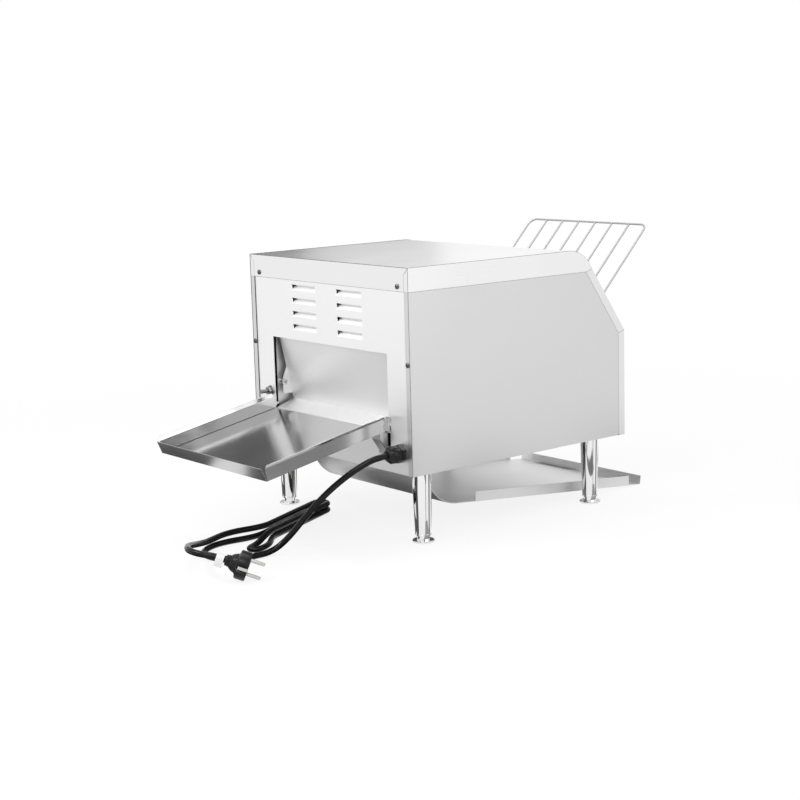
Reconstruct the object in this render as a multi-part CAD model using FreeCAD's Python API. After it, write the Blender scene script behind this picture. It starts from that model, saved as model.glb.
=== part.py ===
"""Conveyor toaster with a slanted feed front, a rear tray and a front tray under its casing.

Millimetres, +Z up. The casing stands centred on X = 0 with its back towards +Y, and the
counter is Z = 0. Every piece is saved as a separate STEP file in the folder parts.
"""
import FreeCAD, Part
import math
import os

Vector = FreeCAD.Vector

# General
overrun = 5.0
sheet = 1.0
thin_sheet = 0.8
seat_gap = 0.3
running_gap = 0.08
lie_gap = 0.15
smallest_edge = 0.000001

# Casing
casing_width = 370.0
casing_depth = 406.0
casing_height = 280.0
leg_clearance = 100.0
knee_height = 156.6
slant_angle = math.radians(55.4)
top_corner_radius = 50.0
front_band = 12.0
lid_skirt = 32.0
lid_mitre_rise = 3.5
corner_return = 9.5
seam_width = 0.4
joggle_height = 27.0
joggle_front_inset = 15.0
side_step_height = 2.0
side_step_depth = 138.0

# Feed opening in the slanted fascia, measured along the slant from the knee
feed_side_inset = 51.0
feed_low = 21.0
feed_high = 106.0

# Back panel
rear_opening_inset = 50.5
rear_opening_bottom = 53.5
rear_opening_height = 108.5
hook_slot_inner_inset = 53.5
hook_slot_outer_inset = 47.5
hook_slot_depth = 18.5
louvre_width = 57.0
louvre_centre = 53.2
louvre_height = 8.5
louvre_depth = 5.0
louvre_pitch = 19.1
louvre_rows = 4
louvre_top_drop = 38.2

# Casing screws
screw_head_radius = 3.6
screw_head_height = 2.0
screw_shank_radius = 2.0
screw_length = 8.0
screw_recess_width = 1.0
screw_recess_span = 4.6
screw_recess_depth = 1.1
lid_screw_inset = 23.0
lid_screw_drop = 25.4
side_screw_inset = 5.2
side_screw_height = 151.0

# Bonding stud
stud_inset = 39.0
stud_height = 80.0
stud_radius = 3.0
stud_projection = 18.0
stud_nut_radius = 6.0
stud_nut_height = 5.0
stud_washer_radius = 7.5
stud_washer_height = 1.5

# Base plate
base_flange = 15.0
outlet_front_inset = 163.0
outlet_back_inset = 63.0
outlet_side_inset = 53.0
vent_slot_length = 56.0
vent_slot_width = 5.0
vent_slot_pitch = 12.0
vent_slots = 5

# Legs and feet
leg_side_inset = 26.0
rear_leg_inset = 36.0
front_leg_inset = 48.0
leg_top_radius = 13.7
leg_low_radius = 11.0
leg_bottom = 10.0
leg_collar = 2.0
leg_bore_depth = 42.0
foot_disc_radius = 15.5
foot_disc_height = 3.5
foot_neck_radius = 9.0
foot_stud_radius = 4.0
foot_stud_length = 34.0
bolt_radius = 4.0
bolt_length = 10.0
bolt_nut_radius = 7.5
bolt_nut_height = 6.0

# Inner side plates
inner_plate_inset = 49.0
inner_sheet = 1.2
inner_foot = 14.0
inner_front_inset = 31.0
inner_slant_inset = 12.0
inner_rear_inset = 7.0
inner_mouth_height = 244.0
inner_mouth_depth = 45.0
inner_bend_inset = 159.0
inner_bend_height = 186.0
inner_back_height = 165.0

# Conveyor
drive_inset = 78.0
drive_height = 105.0
conveyor_tilt = math.radians(5.8)
belt_teeth = 8
belt_wheel_radius = 16.0
belt_front_room = 59.0
belt_rod_radius = 1.1
belt_side_gap = 9.0
belt_band_width = 1.4
belt_band_half_height = 2.0
belt_lane_share = 0.55
belt_wheel_lane_share = 0.75
belt_wheel_width = 4.0
belt_hub_radius = 9.0
belt_hub_width = 12.0
tooth_notch_radius = 2.6
shaft_radius = 5.0
shaft_overhang = 5.5
bush_flange_radius = 11.0
bush_flange_width = 2.0
bush_radius = 8.0

# Drive chain
chain_teeth = 8
chain_pitch = 12.7
chain_straight_links = 14
chain_roller_radius = 2.6
chain_half_width = 3.0
chain_band_width = 1.0
chain_band_half_height = 3.6
chain_offset = 16.0
chain_drop_angle = math.radians(21.5)
chain_wheel_width = 4.0
chain_hub_radius = 8.5
chain_hub_width = 17.0

# Gear motor
motor_shaft_radius = 4.0
gearbox_radius = 28.0
gearbox_length = 28.0
motor_can_radius = 25.0
motor_can_length = 45.0
motor_shaft_depth = 18.0
motor_plate_thickness = 2.0
motor_plate_half_width = 36.0
motor_plate_foot = 22.0
motor_plate_gap = 6.0
motor_plate_over = 34.0
motor_shaft_hole_radius = 10.0

# Heating elements
element_radius = 5.0
element_overhang = 10.0
element_cap_radius = 6.5
element_cap_length = 9.0
upper_element_shares = (0.11135, 0.40829, 0.70523)
lower_element_shares = (0.22271, 0.48253, 0.74235)
upper_element_height = 44.0
holder_radius = 11.0
holder_width = 5.0
holder_boss_radius = 8.0
holder_boss_length = 4.0

# Reflectors and chute
upper_reflector_height = 58.0
upper_reflector_back = -58.0
upper_reflector_front_gap = 74.4
baffle_top_inset = 79.0
baffle_top_height = 234.0
lower_reflector_height = -30.0
lower_reflector_back = 14.0
lower_reflector_front_gap = 23.4
chute_top_inset = 32.5
chute_top_height = 60.0
chute_foot_inset = 60.5
chute_foot_length = 16.0
chute_side_gap = 6.0

# Rear deflector and its screws
deflector_side_gap = 8.0
deflector_top_inset = 9.0
deflector_top_height = 161.0
deflector_low_inset = 29.5
deflector_low_height = 67.0
deflector_foot_inset = 2.3
deflector_foot_height = 57.5
ear_width = 17.0
ear_low = 76.0
ear_high = 116.0
ear_slot_width = 4.8
deflector_screw_inset = 13.0
deflector_screw_height = 93.7
deflector_screw_head_radius = 4.6
deflector_screw_head_height = 2.4
deflector_spacer_radius = 4.0

# Rear tray, in its own slope
tray_side_inset = 54.0
tray_wall = 17.5
tray_flare = 4.0
tray_length = 200.3
tray_slope = math.radians(10.8)
tray_start_gap = 1.6
tray_start_height = 55.7
tray_lip_lean = 4.0
tray_lip_height = 18.0
tray_corner_gap = 1.2
tray_tab_top = 76.0
tray_notch = 3.0
tray_notch_height = 66.5
hook_inset = 51.6
hook_height = 8.5
hook_finger_width = 3.4
hook_finger_depth = 8.0

# Tray brackets
bracket_inner_inset = 73.0
bracket_outer_inset = 55.5
bracket_stand_off = 11.5
bracket_bottom = 23.0
bracket_bend = 5.0
bracket_rise = 17.0

# Front tray
front_tray_side_inset = 50.0
front_tray_overhang = 87.0
front_tray_rise = 34.42
front_tray_clearance = 1.1
front_tray_drop = 42.0
front_tray_curve_inset = 117.0
front_tray_lip_height = 13.0
front_tray_lip_lean = 1.8
front_tray_wall = 14.5
front_tray_wall_back_inset = 153.0
front_tray_wall_overhang = 61.0
front_tray_hook = 6.0
front_tray_hook_drop = 4.6
hanger_inset = 95.0
hanger_width = 30.0
hanger_shelf = 8.0
hanger_back = 18.0

# Loading rack
rack_wire_radius = 1.5
rack_inner_shares = (0.14207, 0.427, 0.71193)
rack_side_inset = 57.6
rack_slope = math.radians(45.295)
rack_length = 176.34
rack_corner_radius = 12.0
rack_hook_radius = 2.0
rack_hook_length = 14.0
rack_bar_place = 22.0
rack_bar_share = 0.75

# Controls
knob_inset = 90.0
knob_height = 70.0
knob_radius = 17.0
knob_depth = 16.0
knob_skirt = 4.0
knob_grip_width = 7.0
knob_grip_rise = 8.0
knob_hole_radius = 4.5
spindle_radius = 3.0
spindle_length = 14.0
switch_size = 30.0
switch_depth = 20.0
potentiometer_radius = 12.0
potentiometer_depth = 17.0
lamp_height = 110.0
lamp_radius = 5.0
lamp_bezel_radius = 8.0
lamp_bezel_height = 2.5
lamp_length = 22.0

# Fan
fan_x = -62.0
fan_front_inset = 121.0
fan_size = 80.0
fan_depth = 22.0
fan_bore_radius = 37.0
fan_hub_radius = 14.0
fan_blade_radius = 35.5
fan_blades = 7
fan_blade_thickness = 1.4
fan_blade_height = 12.0
fan_blade_tilt = 32.0
fan_blade_root = 3.0
fan_floor = 3.0
fan_pin_radius = 2.0
fan_strut_width = 4.0

# Electrical parts beside the left inner plate
board_inset = 17.0
board_y = -10.0
board_width = 26.0
board_length = 110.0
board_thickness = 1.6
board_stand = 6.0
board_post_radius = 2.5
board_post_inset = 5.0
relay_width = 16.0
relay_length = 20.0
relay_height = 15.0
relays = 3
terminal_inset = 19.0
terminal_back_inset = 83.0
terminal_width = 26.0
terminal_length = 44.0
terminal_height = 15.0
terminal_poles = 4
terminal_screw_radius = 2.5
terminal_screw_depth = 4.0

# Cable gland
gland_inset = 26.0
gland_height = 29.0
gland_thread_radius = 8.0
gland_nut_radius = 13.0
gland_nut_length = 9.0
gland_dome_radius = 12.0
gland_dome_share = 0.55
gland_nose_radius = 7.2
gland_length = 25.0
gland_lock_radius = 11.5
gland_lock_length = 5.0

# Cord
cord_radius = 4.25
cord_arc_share = 0.45
cord_near_share = 6
# Share of the way across to the hank, distance behind the back, height
lead_points = (
    (0.0, 24.0, 129.0),
    (0.00224, 40.0, 128.8),
    (0.07825, 57.5, 121.5),
    (0.24593, 78.5, 105.0),
    (0.47509, 98.5, 80.5),
    (0.70983, 115.5, 50.5),
    (0.82721, 130.5, 28.5),
    (0.9507, 144.82, 10.99),
    (1.00212, 160.86, 4.25),
)
# In the hank's own frame
tail_points = (
    (255.6, 42.0, 13.6),
    (270.1, 40.0, 15.7),
    (284.5, 37.6, 18.1),
    (298.6, 34.2, 21.0),
    (312.6, 29.8, 24.2),
    (326.2, 24.5, 27.5),
    (339.4, 18.3, 30.6),
    (352.1, 11.2, 33.4),
    (364.4, 3.3, 35.5),
    (375.9, -5.5, 36.8),
    (383.6, -17.8, 37.0),
    (385.0, -32.2, 35.8),
)

# Hank, measured in its own frame: along it, across it and up
hank_start_x = 82.5
hank_start_inset = 43.5
hank_direction = math.radians(115.7)
hank_bulb_radius = 42.0
hank_bulb_place = 254.0
hank_entry_angle = math.radians(25.0)
hank_fold_radius = 11.0
hank_inner_fold_radius = 8.5
hank_sweep_radius = 90.0
hank_layer = 9.3
hank_return_reach = 232.0
hank_climb_length = 62.0
hank_tail_straight = 9.0
hank_tail_lead = 22.0

# Plug
plug_radius = 19.0
plug_front_length = 15.0
plug_back_radius = 12.0
plug_nose_radius = 7.0
plug_length = 31.0
plug_sleeve_length = 8.0
plug_strip_width = 9.0
plug_strip_depth = 3.0
plug_pin_radius = 2.4
plug_pin_root_radius = 1.8
plug_pin_length = 19.0
plug_pin_depth = 9.0
plug_pin_spacing = 19.0
plug_earth_radius = 2.6
plug_earth_depth = 12.0
plug_earth_offset = 10.0
plug_face_x = -151.1
plug_face_behind = 245.2
plug_heading = math.radians(230.9)
tie_width = 10.5
tie_thickness = 0.8
tie_height = 17.0
tie_back_off = 2.0

# Places worked out from the sizes above
half_width = casing_width / 2
back_y = casing_depth / 2
front_y = -back_y
base_z = leg_clearance
top_z = base_z + casing_height
knee_z = base_z + knee_height
skirt_z = top_z - lid_skirt
panel_y = back_y - 2 * sheet
plate_top = base_z + sheet
feed_half_width = half_width - feed_side_inset
rear_opening_half_width = half_width - rear_opening_inset
hook_slot_inner = half_width - hook_slot_inner_inset
hook_slot_outer = half_width - hook_slot_outer_inset
lid_screw_x = half_width - lid_screw_inset
side_screw_x = half_width - side_screw_inset
stud_x = half_width - stud_inset
outlet_front = back_y - outlet_front_inset
outlet_back = back_y - outlet_back_inset
outlet_half_width = half_width - outlet_side_inset
leg_x = half_width - leg_side_inset
rear_leg_y = back_y - rear_leg_inset
front_leg_y = front_y + front_leg_inset
inner_plate_x = half_width - inner_plate_inset
drive_y = back_y - drive_inset
drive_z = base_z + drive_height
belt_half_width = inner_plate_x - belt_side_gap
belt_pitch = 2 * belt_wheel_radius * math.sin(math.pi / belt_teeth)
belt_room = (drive_y - front_y - belt_front_room) / math.cos(conveyor_tilt)
belt_straight_links = math.floor(belt_room / belt_pitch)
belt_reach = belt_straight_links * belt_pitch
shaft_end = inner_plate_x + shaft_overhang
chain_x = inner_plate_x + chain_offset
element_end = inner_plate_x + element_overhang
chute_top_y = back_y - chute_top_inset
chute_foot_y = back_y - chute_foot_inset
chute_half_width = inner_plate_x - chute_side_gap
deflector_half_width = inner_plate_x - deflector_side_gap
deflector_top_y = back_y - deflector_top_inset
deflector_low_y = back_y - deflector_low_inset
deflector_foot_y = back_y - deflector_foot_inset
deflector_screw_y = back_y - deflector_screw_inset
tray_half_width = half_width - tray_side_inset
tray_start_y = back_y + tray_start_gap
hook_x = half_width - hook_inset
bracket_inner_x = half_width - bracket_inner_inset
bracket_outer_x = half_width - bracket_outer_inset
front_tray_half_width = half_width - front_tray_side_inset
front_tray_front = front_y - front_tray_overhang
front_tray_curve_y = back_y - front_tray_curve_inset
front_tray_slope = math.atan(front_tray_rise / (front_tray_curve_y - front_tray_front))
front_tray_radius = leg_clearance - front_tray_drop
front_tray_hook_height = base_z - front_tray_hook_drop
hanger_x = half_width - hanger_inset
rack_half_width = half_width - rack_side_inset
knob_x = half_width - knob_inset
fan_y = front_y + fan_front_inset
board_x = board_inset - half_width
terminal_x = terminal_inset - half_width
terminal_y = back_y - terminal_back_inset
gland_x = gland_inset - half_width
hank_start = (hank_start_x, back_y - hank_start_inset)
plug_face = (plug_face_x, back_y + plug_face_behind)
chain_wheel_radius = chain_pitch / (2 * math.sin(math.pi / chain_teeth))
chain_reach = chain_straight_links * chain_pitch
idler_y = drive_y - belt_reach * math.cos(conveyor_tilt)
idler_z = drive_z + belt_reach * math.sin(conveyor_tilt)
motor_y = drive_y - chain_reach * math.cos(chain_drop_angle)
motor_z = drive_z - chain_reach * math.sin(chain_drop_angle)
saved = {}


def box(x0, x1, y0, y1, z0, z1):
    """Box between two corners."""
    return Part.makeBox(x1 - x0, y1 - y0, z1 - z0, Vector(x0, y0, z0))


def rod(start, end, radius):
    """Round rod between two points."""
    axis = end - start
    return Part.makeCylinder(radius, axis.Length, start, axis)


def fuse(shapes):
    """One tidy solid from overlapping or touching shapes."""
    shapes = list(shapes)
    joined = shapes[0].multiFuse(shapes[1:]) if len(shapes) > 1 else shapes[0]
    return joined.removeSplitter()


def cut(shape, tools):
    """Shape with every tool taken away."""
    return shape.cut(Part.makeCompound(list(tools)))


def mirrored(shape):
    """Copy of a shape on the other side of the casing."""
    return shape.mirror(Vector(0, 0, 0), Vector(1, 0, 0))


def both_sides(shape):
    """A shape with its mirror image."""
    return [shape, mirrored(shape)]


def rounded_edges(points, radii, closed):
    """Straight edges through the points, with tangent arcs at the corners."""
    count = len(points)
    stops = []
    for index, point in enumerate(points):
        radius = radii[index]
        ends = not closed and index in (0, count - 1)
        if ends or radius == 0:
            stops.append((point, None, point))
            continue
        before = (points[index - 1] - point).normalize()
        after = (points[(index + 1) % count] - point).normalize()
        half = before.getAngle(after) / 2
        reach = radius / math.tan(half)
        middle = (before + after).normalize()
        nearest = point + middle * (radius / math.sin(half) - radius)
        stops.append((point + before * reach, nearest, point + after * reach))
    edges = []
    last = count if closed else count - 1
    for index in range(count):
        first, nearest, second = stops[index]
        if nearest is not None:
            edges.append(Part.Arc(first, nearest, second).toShape())
        following = stops[(index + 1) % count][0]
        if index < last and (following - second).Length > smallest_edge:
            edges.append(Part.LineSegment(second, following).toShape())
    return edges


def side_prism(points, x0, x1, radii=None):
    """Outline in the YZ plane, given as (y, z), drawn out from x0 to x1."""
    corners = [Vector(x0, y, z) for y, z in points]
    radii = radii or [0] * len(points)
    wire = Part.Wire(rounded_edges(corners, radii, True))
    return Part.Face(wire).extrude(Vector(x1 - x0, 0, 0))


def bent_sheet(points, thickness, x0, x1, radius=0):
    """Sheet folded along points in the YZ plane, its thickness to the left of the way along."""
    count = len(points)
    headings = []
    for start, end in zip(points, points[1:]):
        headings.append(math.atan2(end[1] - start[1], end[0] - start[0]))
    offset = []
    outer_radii = []
    inner_radii = []
    for index, (y, z) in enumerate(points):
        before = headings[max(index - 1, 0)]
        after = headings[min(index, count - 2)]
        turn = math.remainder(after - before, 2 * math.pi)
        middle = before + turn / 2 + math.pi / 2
        reach = thickness / math.cos(turn / 2)
        offset.append((y + reach * math.cos(middle), z + reach * math.sin(middle)))
        bend = radius if abs(turn) > 0 else 0
        outer_radii.append(bend + thickness if turn > 0 and bend else bend)
        inner_radii.append(bend + thickness if turn < 0 and bend else bend)
    outer_radii[0] = outer_radii[-1] = inner_radii[0] = inner_radii[-1] = 0
    outline = list(points) + offset[::-1]
    return side_prism(outline, x0, x1, outer_radii + inner_radii[::-1])


def hexagon(centre, axis, radius, length):
    """Hexagonal prism round an axis; radius is the distance to its corners."""
    upright = abs(axis.z) > abs(axis.x) + abs(axis.y)
    across = Vector(1, 0, 0) if upright else axis.cross(Vector(0, 0, 1)).normalize()
    up = across.cross(axis).normalize()
    corners = []
    for index in range(7):
        angle = math.radians(60 * index)
        corners.append(centre + across * (radius * math.cos(angle)) + up * (radius * math.sin(angle)))
    return Part.Face(Part.makePolygon(corners)).extrude(Vector(axis).normalize() * length)


def revolved(points, origin, axis, across):
    """Solid turned from an outline of (along the axis, radius) pairs."""
    corners = [origin + axis * along + across * radius for along, radius in points]
    corners.append(corners[0])
    return Part.Face(Part.makePolygon(corners)).revolve(origin, axis, 360)


def save(name, *shapes):
    """Keep the solids of one named piece."""
    solids = []
    for shape in shapes:
        solids.extend(shape.Solids)
    saved[name] = Part.makeCompound(solids) if len(solids) > 1 else solids[0]


def slant_point(along, inward):
    """(y, z) at a distance along the slant from the knee and inward from its outer face."""
    y = front_y + along * math.cos(slant_angle) + inward * math.sin(slant_angle)
    z = knee_z + along * math.sin(slant_angle) - inward * math.cos(slant_angle)
    return y, z


def slant_y(z, inward):
    """Y of the slanted face, moved inward, at height z."""
    return front_y + inward / math.sin(slant_angle) + (z - knee_z) / math.tan(slant_angle)


def knee_point(inward):
    """(y, z) of the knee between the front and the slant, moved inward."""
    rise = inward * (1 / math.sin(slant_angle) - 1) * math.tan(slant_angle)
    return front_y + inward, knee_z - rise


def beyond(inner, outer, reach):
    """Point past outer on the line from inner."""
    length = math.dist(inner, outer)
    share = (length + reach) / length
    return inner[0] + share * (outer[0] - inner[0]), inner[1] + share * (outer[1] - inner[1])


def casing_solid(inward, bottom):
    """Block with the casing's side outline, moved inward all round."""
    top = top_z - inward
    outline = [
        (front_y + inward, bottom),
        knee_point(inward),
        (slant_y(top, inward), top),
        (back_y - inward, top),
        (back_y - inward, bottom),
    ]
    radii = [0, 0, top_corner_radius - inward, 0, 0]
    return side_prism(outline, inward - half_width, half_width - inward, radii)


def seam_slab(start, end):
    """Thin slab across the casing along a seam between two (y, z) points."""
    length = math.dist(start, end)
    across_y = -(end[1] - start[1]) / length * seam_width / 2
    across_z = (end[0] - start[0]) / length * seam_width / 2
    outline = [
        (start[0] + across_y, start[1] + across_z),
        (end[0] + across_y, end[1] + across_z),
        (end[0] - across_y, end[1] - across_z),
        (start[0] - across_y, start[1] - across_z),
    ]
    return side_prism(outline, -half_width - overrun, half_width + overrun)


def pan_screw(place, axis, head_radius, head_height, shank_radius, length):
    """Pan-head screw with a cross recess; axis points out of the panel it holds."""
    across = axis.cross(Vector(0, 0, 1)).normalize()
    up = across.cross(axis)
    outline = [
        (-length, 0),
        (-length, shank_radius),
        (0, shank_radius),
        (0, head_radius),
        (head_height / 2, head_radius),
        (head_height, head_radius / 2),
        (head_height, 0),
    ]
    screw = revolved(outline, place, axis, across)
    centre = place + axis * (head_height - screw_recess_depth)
    recesses = []
    for long_way, short_way in ((across, up), (up, across)):
        corner = centre - long_way * (screw_recess_span / 2) - short_way * (screw_recess_width / 2)
        corners = [
            corner,
            corner + long_way * screw_recess_span,
            corner + long_way * screw_recess_span + short_way * screw_recess_width,
            corner + short_way * screw_recess_width,
            corner,
        ]
        recesses.append(Part.Face(Part.makePolygon(corners)).extrude(axis * overrun))
    return cut(screw, recesses)


def casing_screw_places():
    """Where the casing's rear screws sit, as (x, y, z)."""
    places = []
    for side in (-1, 1):
        places.append(Vector(side * lid_screw_x, back_y, top_z - lid_screw_drop))
        places.append(Vector(side * side_screw_x, back_y, base_z + side_screw_height))
    return places


def screw_holes():
    """Clearance holes for the casing's rear screws."""
    holes = []
    for place in casing_screw_places():
        start = place + Vector(0, overrun, 0)
        end = place - Vector(0, overrun, 0)
        holes.append(rod(start, end, screw_shank_radius + running_gap))
    return holes


def casing_panels():
    """Lid, side panels, slanted fascia and control panel, cut from one shell by their seams."""
    shell = casing_solid(0, base_z).cut(casing_solid(sheet, base_z - overrun))
    mitre_in = (slant_y(skirt_z, front_band), skirt_z)
    mitre_out = (slant_y(skirt_z + lid_mitre_rise, 0), skirt_z + lid_mitre_rise)
    mitre_far = beyond(mitre_in, mitre_out, overrun)
    knee_in = knee_point(front_band)
    knee_far = beyond(knee_in, (front_y, knee_z), overrun)
    front_low = (front_y + front_band, base_z - overrun)
    skirt_far = (back_y + overrun, skirt_z)
    width = half_width + overrun
    lid_region = side_prism(
        [mitre_far, mitre_in, skirt_far, (back_y + overrun, top_z + overrun),
         (mitre_far[0], top_z + overrun)], -width, width)
    fascia_region = side_prism([mitre_far, mitre_in, knee_in, knee_far], -width, width)
    control_region = side_prism(
        [knee_far, knee_in, front_low, (front_y - overrun, base_z - overrun)], -width, width)
    side_region = side_prism(
        [front_low, knee_in, mitre_in, skirt_far, (back_y + overrun, base_z - overrun)],
        -width, -half_width + corner_return)
    seams = [
        seam_slab(mitre_in, mitre_far),
        seam_slab(mitre_in, skirt_far),
        seam_slab(knee_in, knee_far),
        seam_slab(front_low, knee_in),
        seam_slab(knee_in, mitre_in),
    ]
    holes = screw_holes()
    save_lid(cut(shell.common(lid_region), seams + holes))
    save_sides(cut(shell.common(side_region), seams + holes))
    save_fascia(cut(shell.common(fascia_region), seams))
    save_control_panel(cut(shell.common(control_region), seams))


def save_lid(lid):
    """Lid with its folded rear corners slit open."""
    slits = []
    inner = half_width - corner_return
    slit = box(inner - seam_width / 2, inner + seam_width / 2, back_y - sheet, back_y + overrun,
               skirt_z - overrun, top_z - corner_return)
    depth = Vector(0, sheet + overrun, 0)
    corners = [
        Vector(inner - seam_width / 2, back_y - sheet, top_z - corner_return),
        Vector(half_width - sheet - seam_width / 2, back_y - sheet, top_z - sheet),
        Vector(half_width - sheet + seam_width / 2, back_y - sheet, top_z - sheet - seam_width),
        Vector(inner + seam_width / 2, back_y - sheet, top_z - corner_return - seam_width),
    ]
    corners.append(corners[0])
    mitre = Part.Face(Part.makePolygon(corners)).extrude(depth)
    slits.extend(both_sides(slit))
    slits.extend(both_sides(mitre))
    save("top_cover", cut(lid, slits))


def save_sides(left):
    """Side panels with rear returns and a joggled edge behind the lid's skirt."""
    low = skirt_z - seam_width / 2 - sheet
    front = slant_y(skirt_z, front_band) + joggle_front_inset
    strip = box(-half_width + sheet, -half_width + 2 * sheet, front, back_y - 3 * sheet,
                low, low + joggle_height)
    step = box(-half_width - overrun, -half_width + sheet + overrun, front_y - overrun,
               front_y + side_step_depth, base_z - overrun, base_z + side_step_height)
    left = cut(left.fuse(strip), [step])
    save("left_side_panel", left)
    save("right_side_panel", mirrored(left))


def save_fascia(fascia):
    """Slanted front sheet with the feed opening."""
    corners = [
        slant_point(feed_low, -overrun),
        slant_point(feed_high, -overrun),
        slant_point(feed_high, sheet + overrun),
        slant_point(feed_low, sheet + overrun),
    ]
    save("slant_fascia", cut(fascia, [side_prism(corners, -feed_half_width, feed_half_width)]))


def save_control_panel(panel):
    """Vertical front panel with the holes of its two controls and lamp."""
    places = [(knob_x, knob_height, knob_hole_radius), (-knob_x, knob_height, knob_hole_radius)]
    places.append((0, lamp_height, lamp_radius + running_gap))
    holes = []
    for x, height, radius in places:
        start = Vector(x, front_y - overrun, base_z + height)
        holes.append(rod(start, start + Vector(0, 3 * overrun, 0), radius))
    save("control_panel", cut(panel, holes))


def back_panel():
    """Rear sheet with the large opening, hook slots and louvres."""
    plate = box(lie_gap + sheet - half_width, half_width - sheet - lie_gap, panel_y, panel_y + sheet,
                base_z + lie_gap, top_z - sheet - lie_gap)
    near = panel_y - overrun
    far = back_y + overrun
    low = base_z + rear_opening_bottom
    tools = [box(-rear_opening_half_width, rear_opening_half_width, near, far,
                 low, low + rear_opening_height)]
    slot = box(hook_slot_inner, hook_slot_outer, near, far, low - hook_slot_depth, low + sheet / 2)
    tools.extend(both_sides(slot))
    tongues = []
    for row in range(louvre_rows):
        top = top_z - louvre_top_drop - row * louvre_pitch
        bottom = top - louvre_height
        rise = math.sqrt(louvre_height ** 2 - louvre_depth ** 2)
        outline = [
            (panel_y, bottom),
            (panel_y + sheet, bottom),
            (panel_y + sheet - louvre_depth, bottom + rise),
            (panel_y - louvre_depth, bottom + rise),
        ]
        for centre in (-louvre_centre, louvre_centre):
            x0 = centre - louvre_width / 2
            tools.append(box(x0, x0 + louvre_width, near, far, bottom, top))
            tongues.append(side_prism(outline, x0, x0 + louvre_width))
    gland = Vector(gland_x, near, base_z + gland_height)
    tools.append(rod(gland, gland + Vector(0, 3 * overrun, 0), gland_thread_radius + running_gap))
    stud = Vector(stud_x, near, base_z + stud_height)
    tools.append(rod(stud, stud + Vector(0, 3 * overrun, 0), stud_radius + running_gap))
    tools.extend(screw_holes())
    save("back_panel", fuse([cut(plate, tools)] + tongues))


def casing_screws():
    """The four pan-head screws on the casing's back."""
    screws = []
    for place in casing_screw_places():
        screws.append(pan_screw(place, Vector(0, 1, 0), screw_head_radius, screw_head_height,
                                screw_shank_radius, screw_length))
    save("casing_screws", *screws)


def bonding_stud():
    """Stud with its nut and washer, through the back panel."""
    axis = Vector(0, 1, 0)
    face = Vector(stud_x, panel_y + sheet, base_z + stud_height)
    start = face - axis * (sheet + stud_nut_height)
    stud = rod(start, face + axis * stud_projection, stud_radius)
    washer = rod(face, face + axis * stud_washer_height, stud_washer_radius)
    nut = hexagon(face + axis * stud_washer_height, axis, stud_nut_radius, stud_nut_height)
    inner = hexagon(start, axis, stud_nut_radius, stud_nut_height)
    save("bonding_stud", fuse([stud, washer, nut, inner]))


def leg_places():
    """Name and place of each leg."""
    return (
        ("rear_left", -leg_x, rear_leg_y),
        ("rear_right", leg_x, rear_leg_y),
        ("front_left", -leg_x, front_leg_y),
        ("front_right", leg_x, front_leg_y),
    )


def base_plate():
    """Floor pan with up-turned edges, the toast outlet, bolt holes and fan slots."""
    x1 = half_width - sheet - lie_gap
    y0 = front_y + sheet + lie_gap
    y1 = panel_y - lie_gap
    pan = box(-x1, x1, y0, y1, base_z, base_z + base_flange)
    hollow = box(sheet - x1, x1 - sheet, y0 + sheet, y1 - sheet, plate_top, plate_top + base_flange)
    low = base_z - overrun
    tools = [hollow, box(-outlet_half_width, outlet_half_width, outlet_front, outlet_back,
                         low, plate_top + overrun)]
    for _, x, y in leg_places():
        tools.append(rod(Vector(x, y, low), Vector(x, y, plate_top + overrun),
                         bolt_radius + running_gap))
    for index in range(vent_slots):
        y = fan_y + (index - (vent_slots - 1) / 2) * vent_slot_pitch
        tools.append(box(fan_x - vent_slot_length / 2, fan_x + vent_slot_length / 2,
                         y - vent_slot_width / 2, y + vent_slot_width / 2,
                         low, plate_top + overrun))
    save("base_plate", cut(pan, tools))


def legs_and_feet():
    """Tapered legs with bolts and nuts at the top, and turning feet on threaded studs."""
    up = Vector(0, 0, 1)
    across = Vector(1, 0, 0)
    bore = foot_stud_radius + running_gap
    bore_top = leg_bottom + leg_bore_depth
    leg_outline = [
        (leg_bottom, bore),
        (leg_bottom, leg_low_radius),
        (base_z - leg_collar, leg_top_radius),
        (base_z, leg_top_radius),
        (base_z, bolt_radius),
        (base_z + bolt_length, bolt_radius),
        (base_z + bolt_length, 0),
        (bore_top, 0),
        (bore_top, bore),
    ]
    neck_top = leg_bottom - seat_gap
    stud_top = neck_top + foot_stud_length
    edge = foot_disc_height / 4
    foot_outline = [
        (0, 0),
        (0, foot_disc_radius - edge),
        (edge, foot_disc_radius),
        (foot_disc_height - edge, foot_disc_radius),
        (foot_disc_height, foot_disc_radius - edge),
        (foot_disc_height, foot_neck_radius),
        (neck_top, foot_neck_radius),
        (neck_top, foot_stud_radius),
        (stud_top, foot_stud_radius),
        (stud_top, 0),
    ]
    for name, x, y in leg_places():
        origin = Vector(x, y, 0)
        leg = revolved(leg_outline, origin, up, across)
        nut = hexagon(origin + up * plate_top, up, bolt_nut_radius, bolt_nut_height)
        save("leg_" + name, fuse([leg, nut]))
        save("foot_" + name, revolved(foot_outline, origin, up, across))


def on_conveyor(along, height):
    """(y, z) at a distance from the drive shaft towards the front and a height above it."""
    y = drive_y - along * math.cos(conveyor_tilt) + height * math.sin(conveyor_tilt)
    z = drive_z + along * math.sin(conveyor_tilt) + height * math.cos(conveyor_tilt)
    return y, z


def element_spots():
    """(y, z) of the upper and of the lower heating tubes."""
    upper = [on_conveyor(share * belt_reach, upper_element_height) for share in upper_element_shares]
    lower = [on_conveyor(share * belt_reach, 0) for share in lower_element_shares]
    return upper, lower


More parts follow.
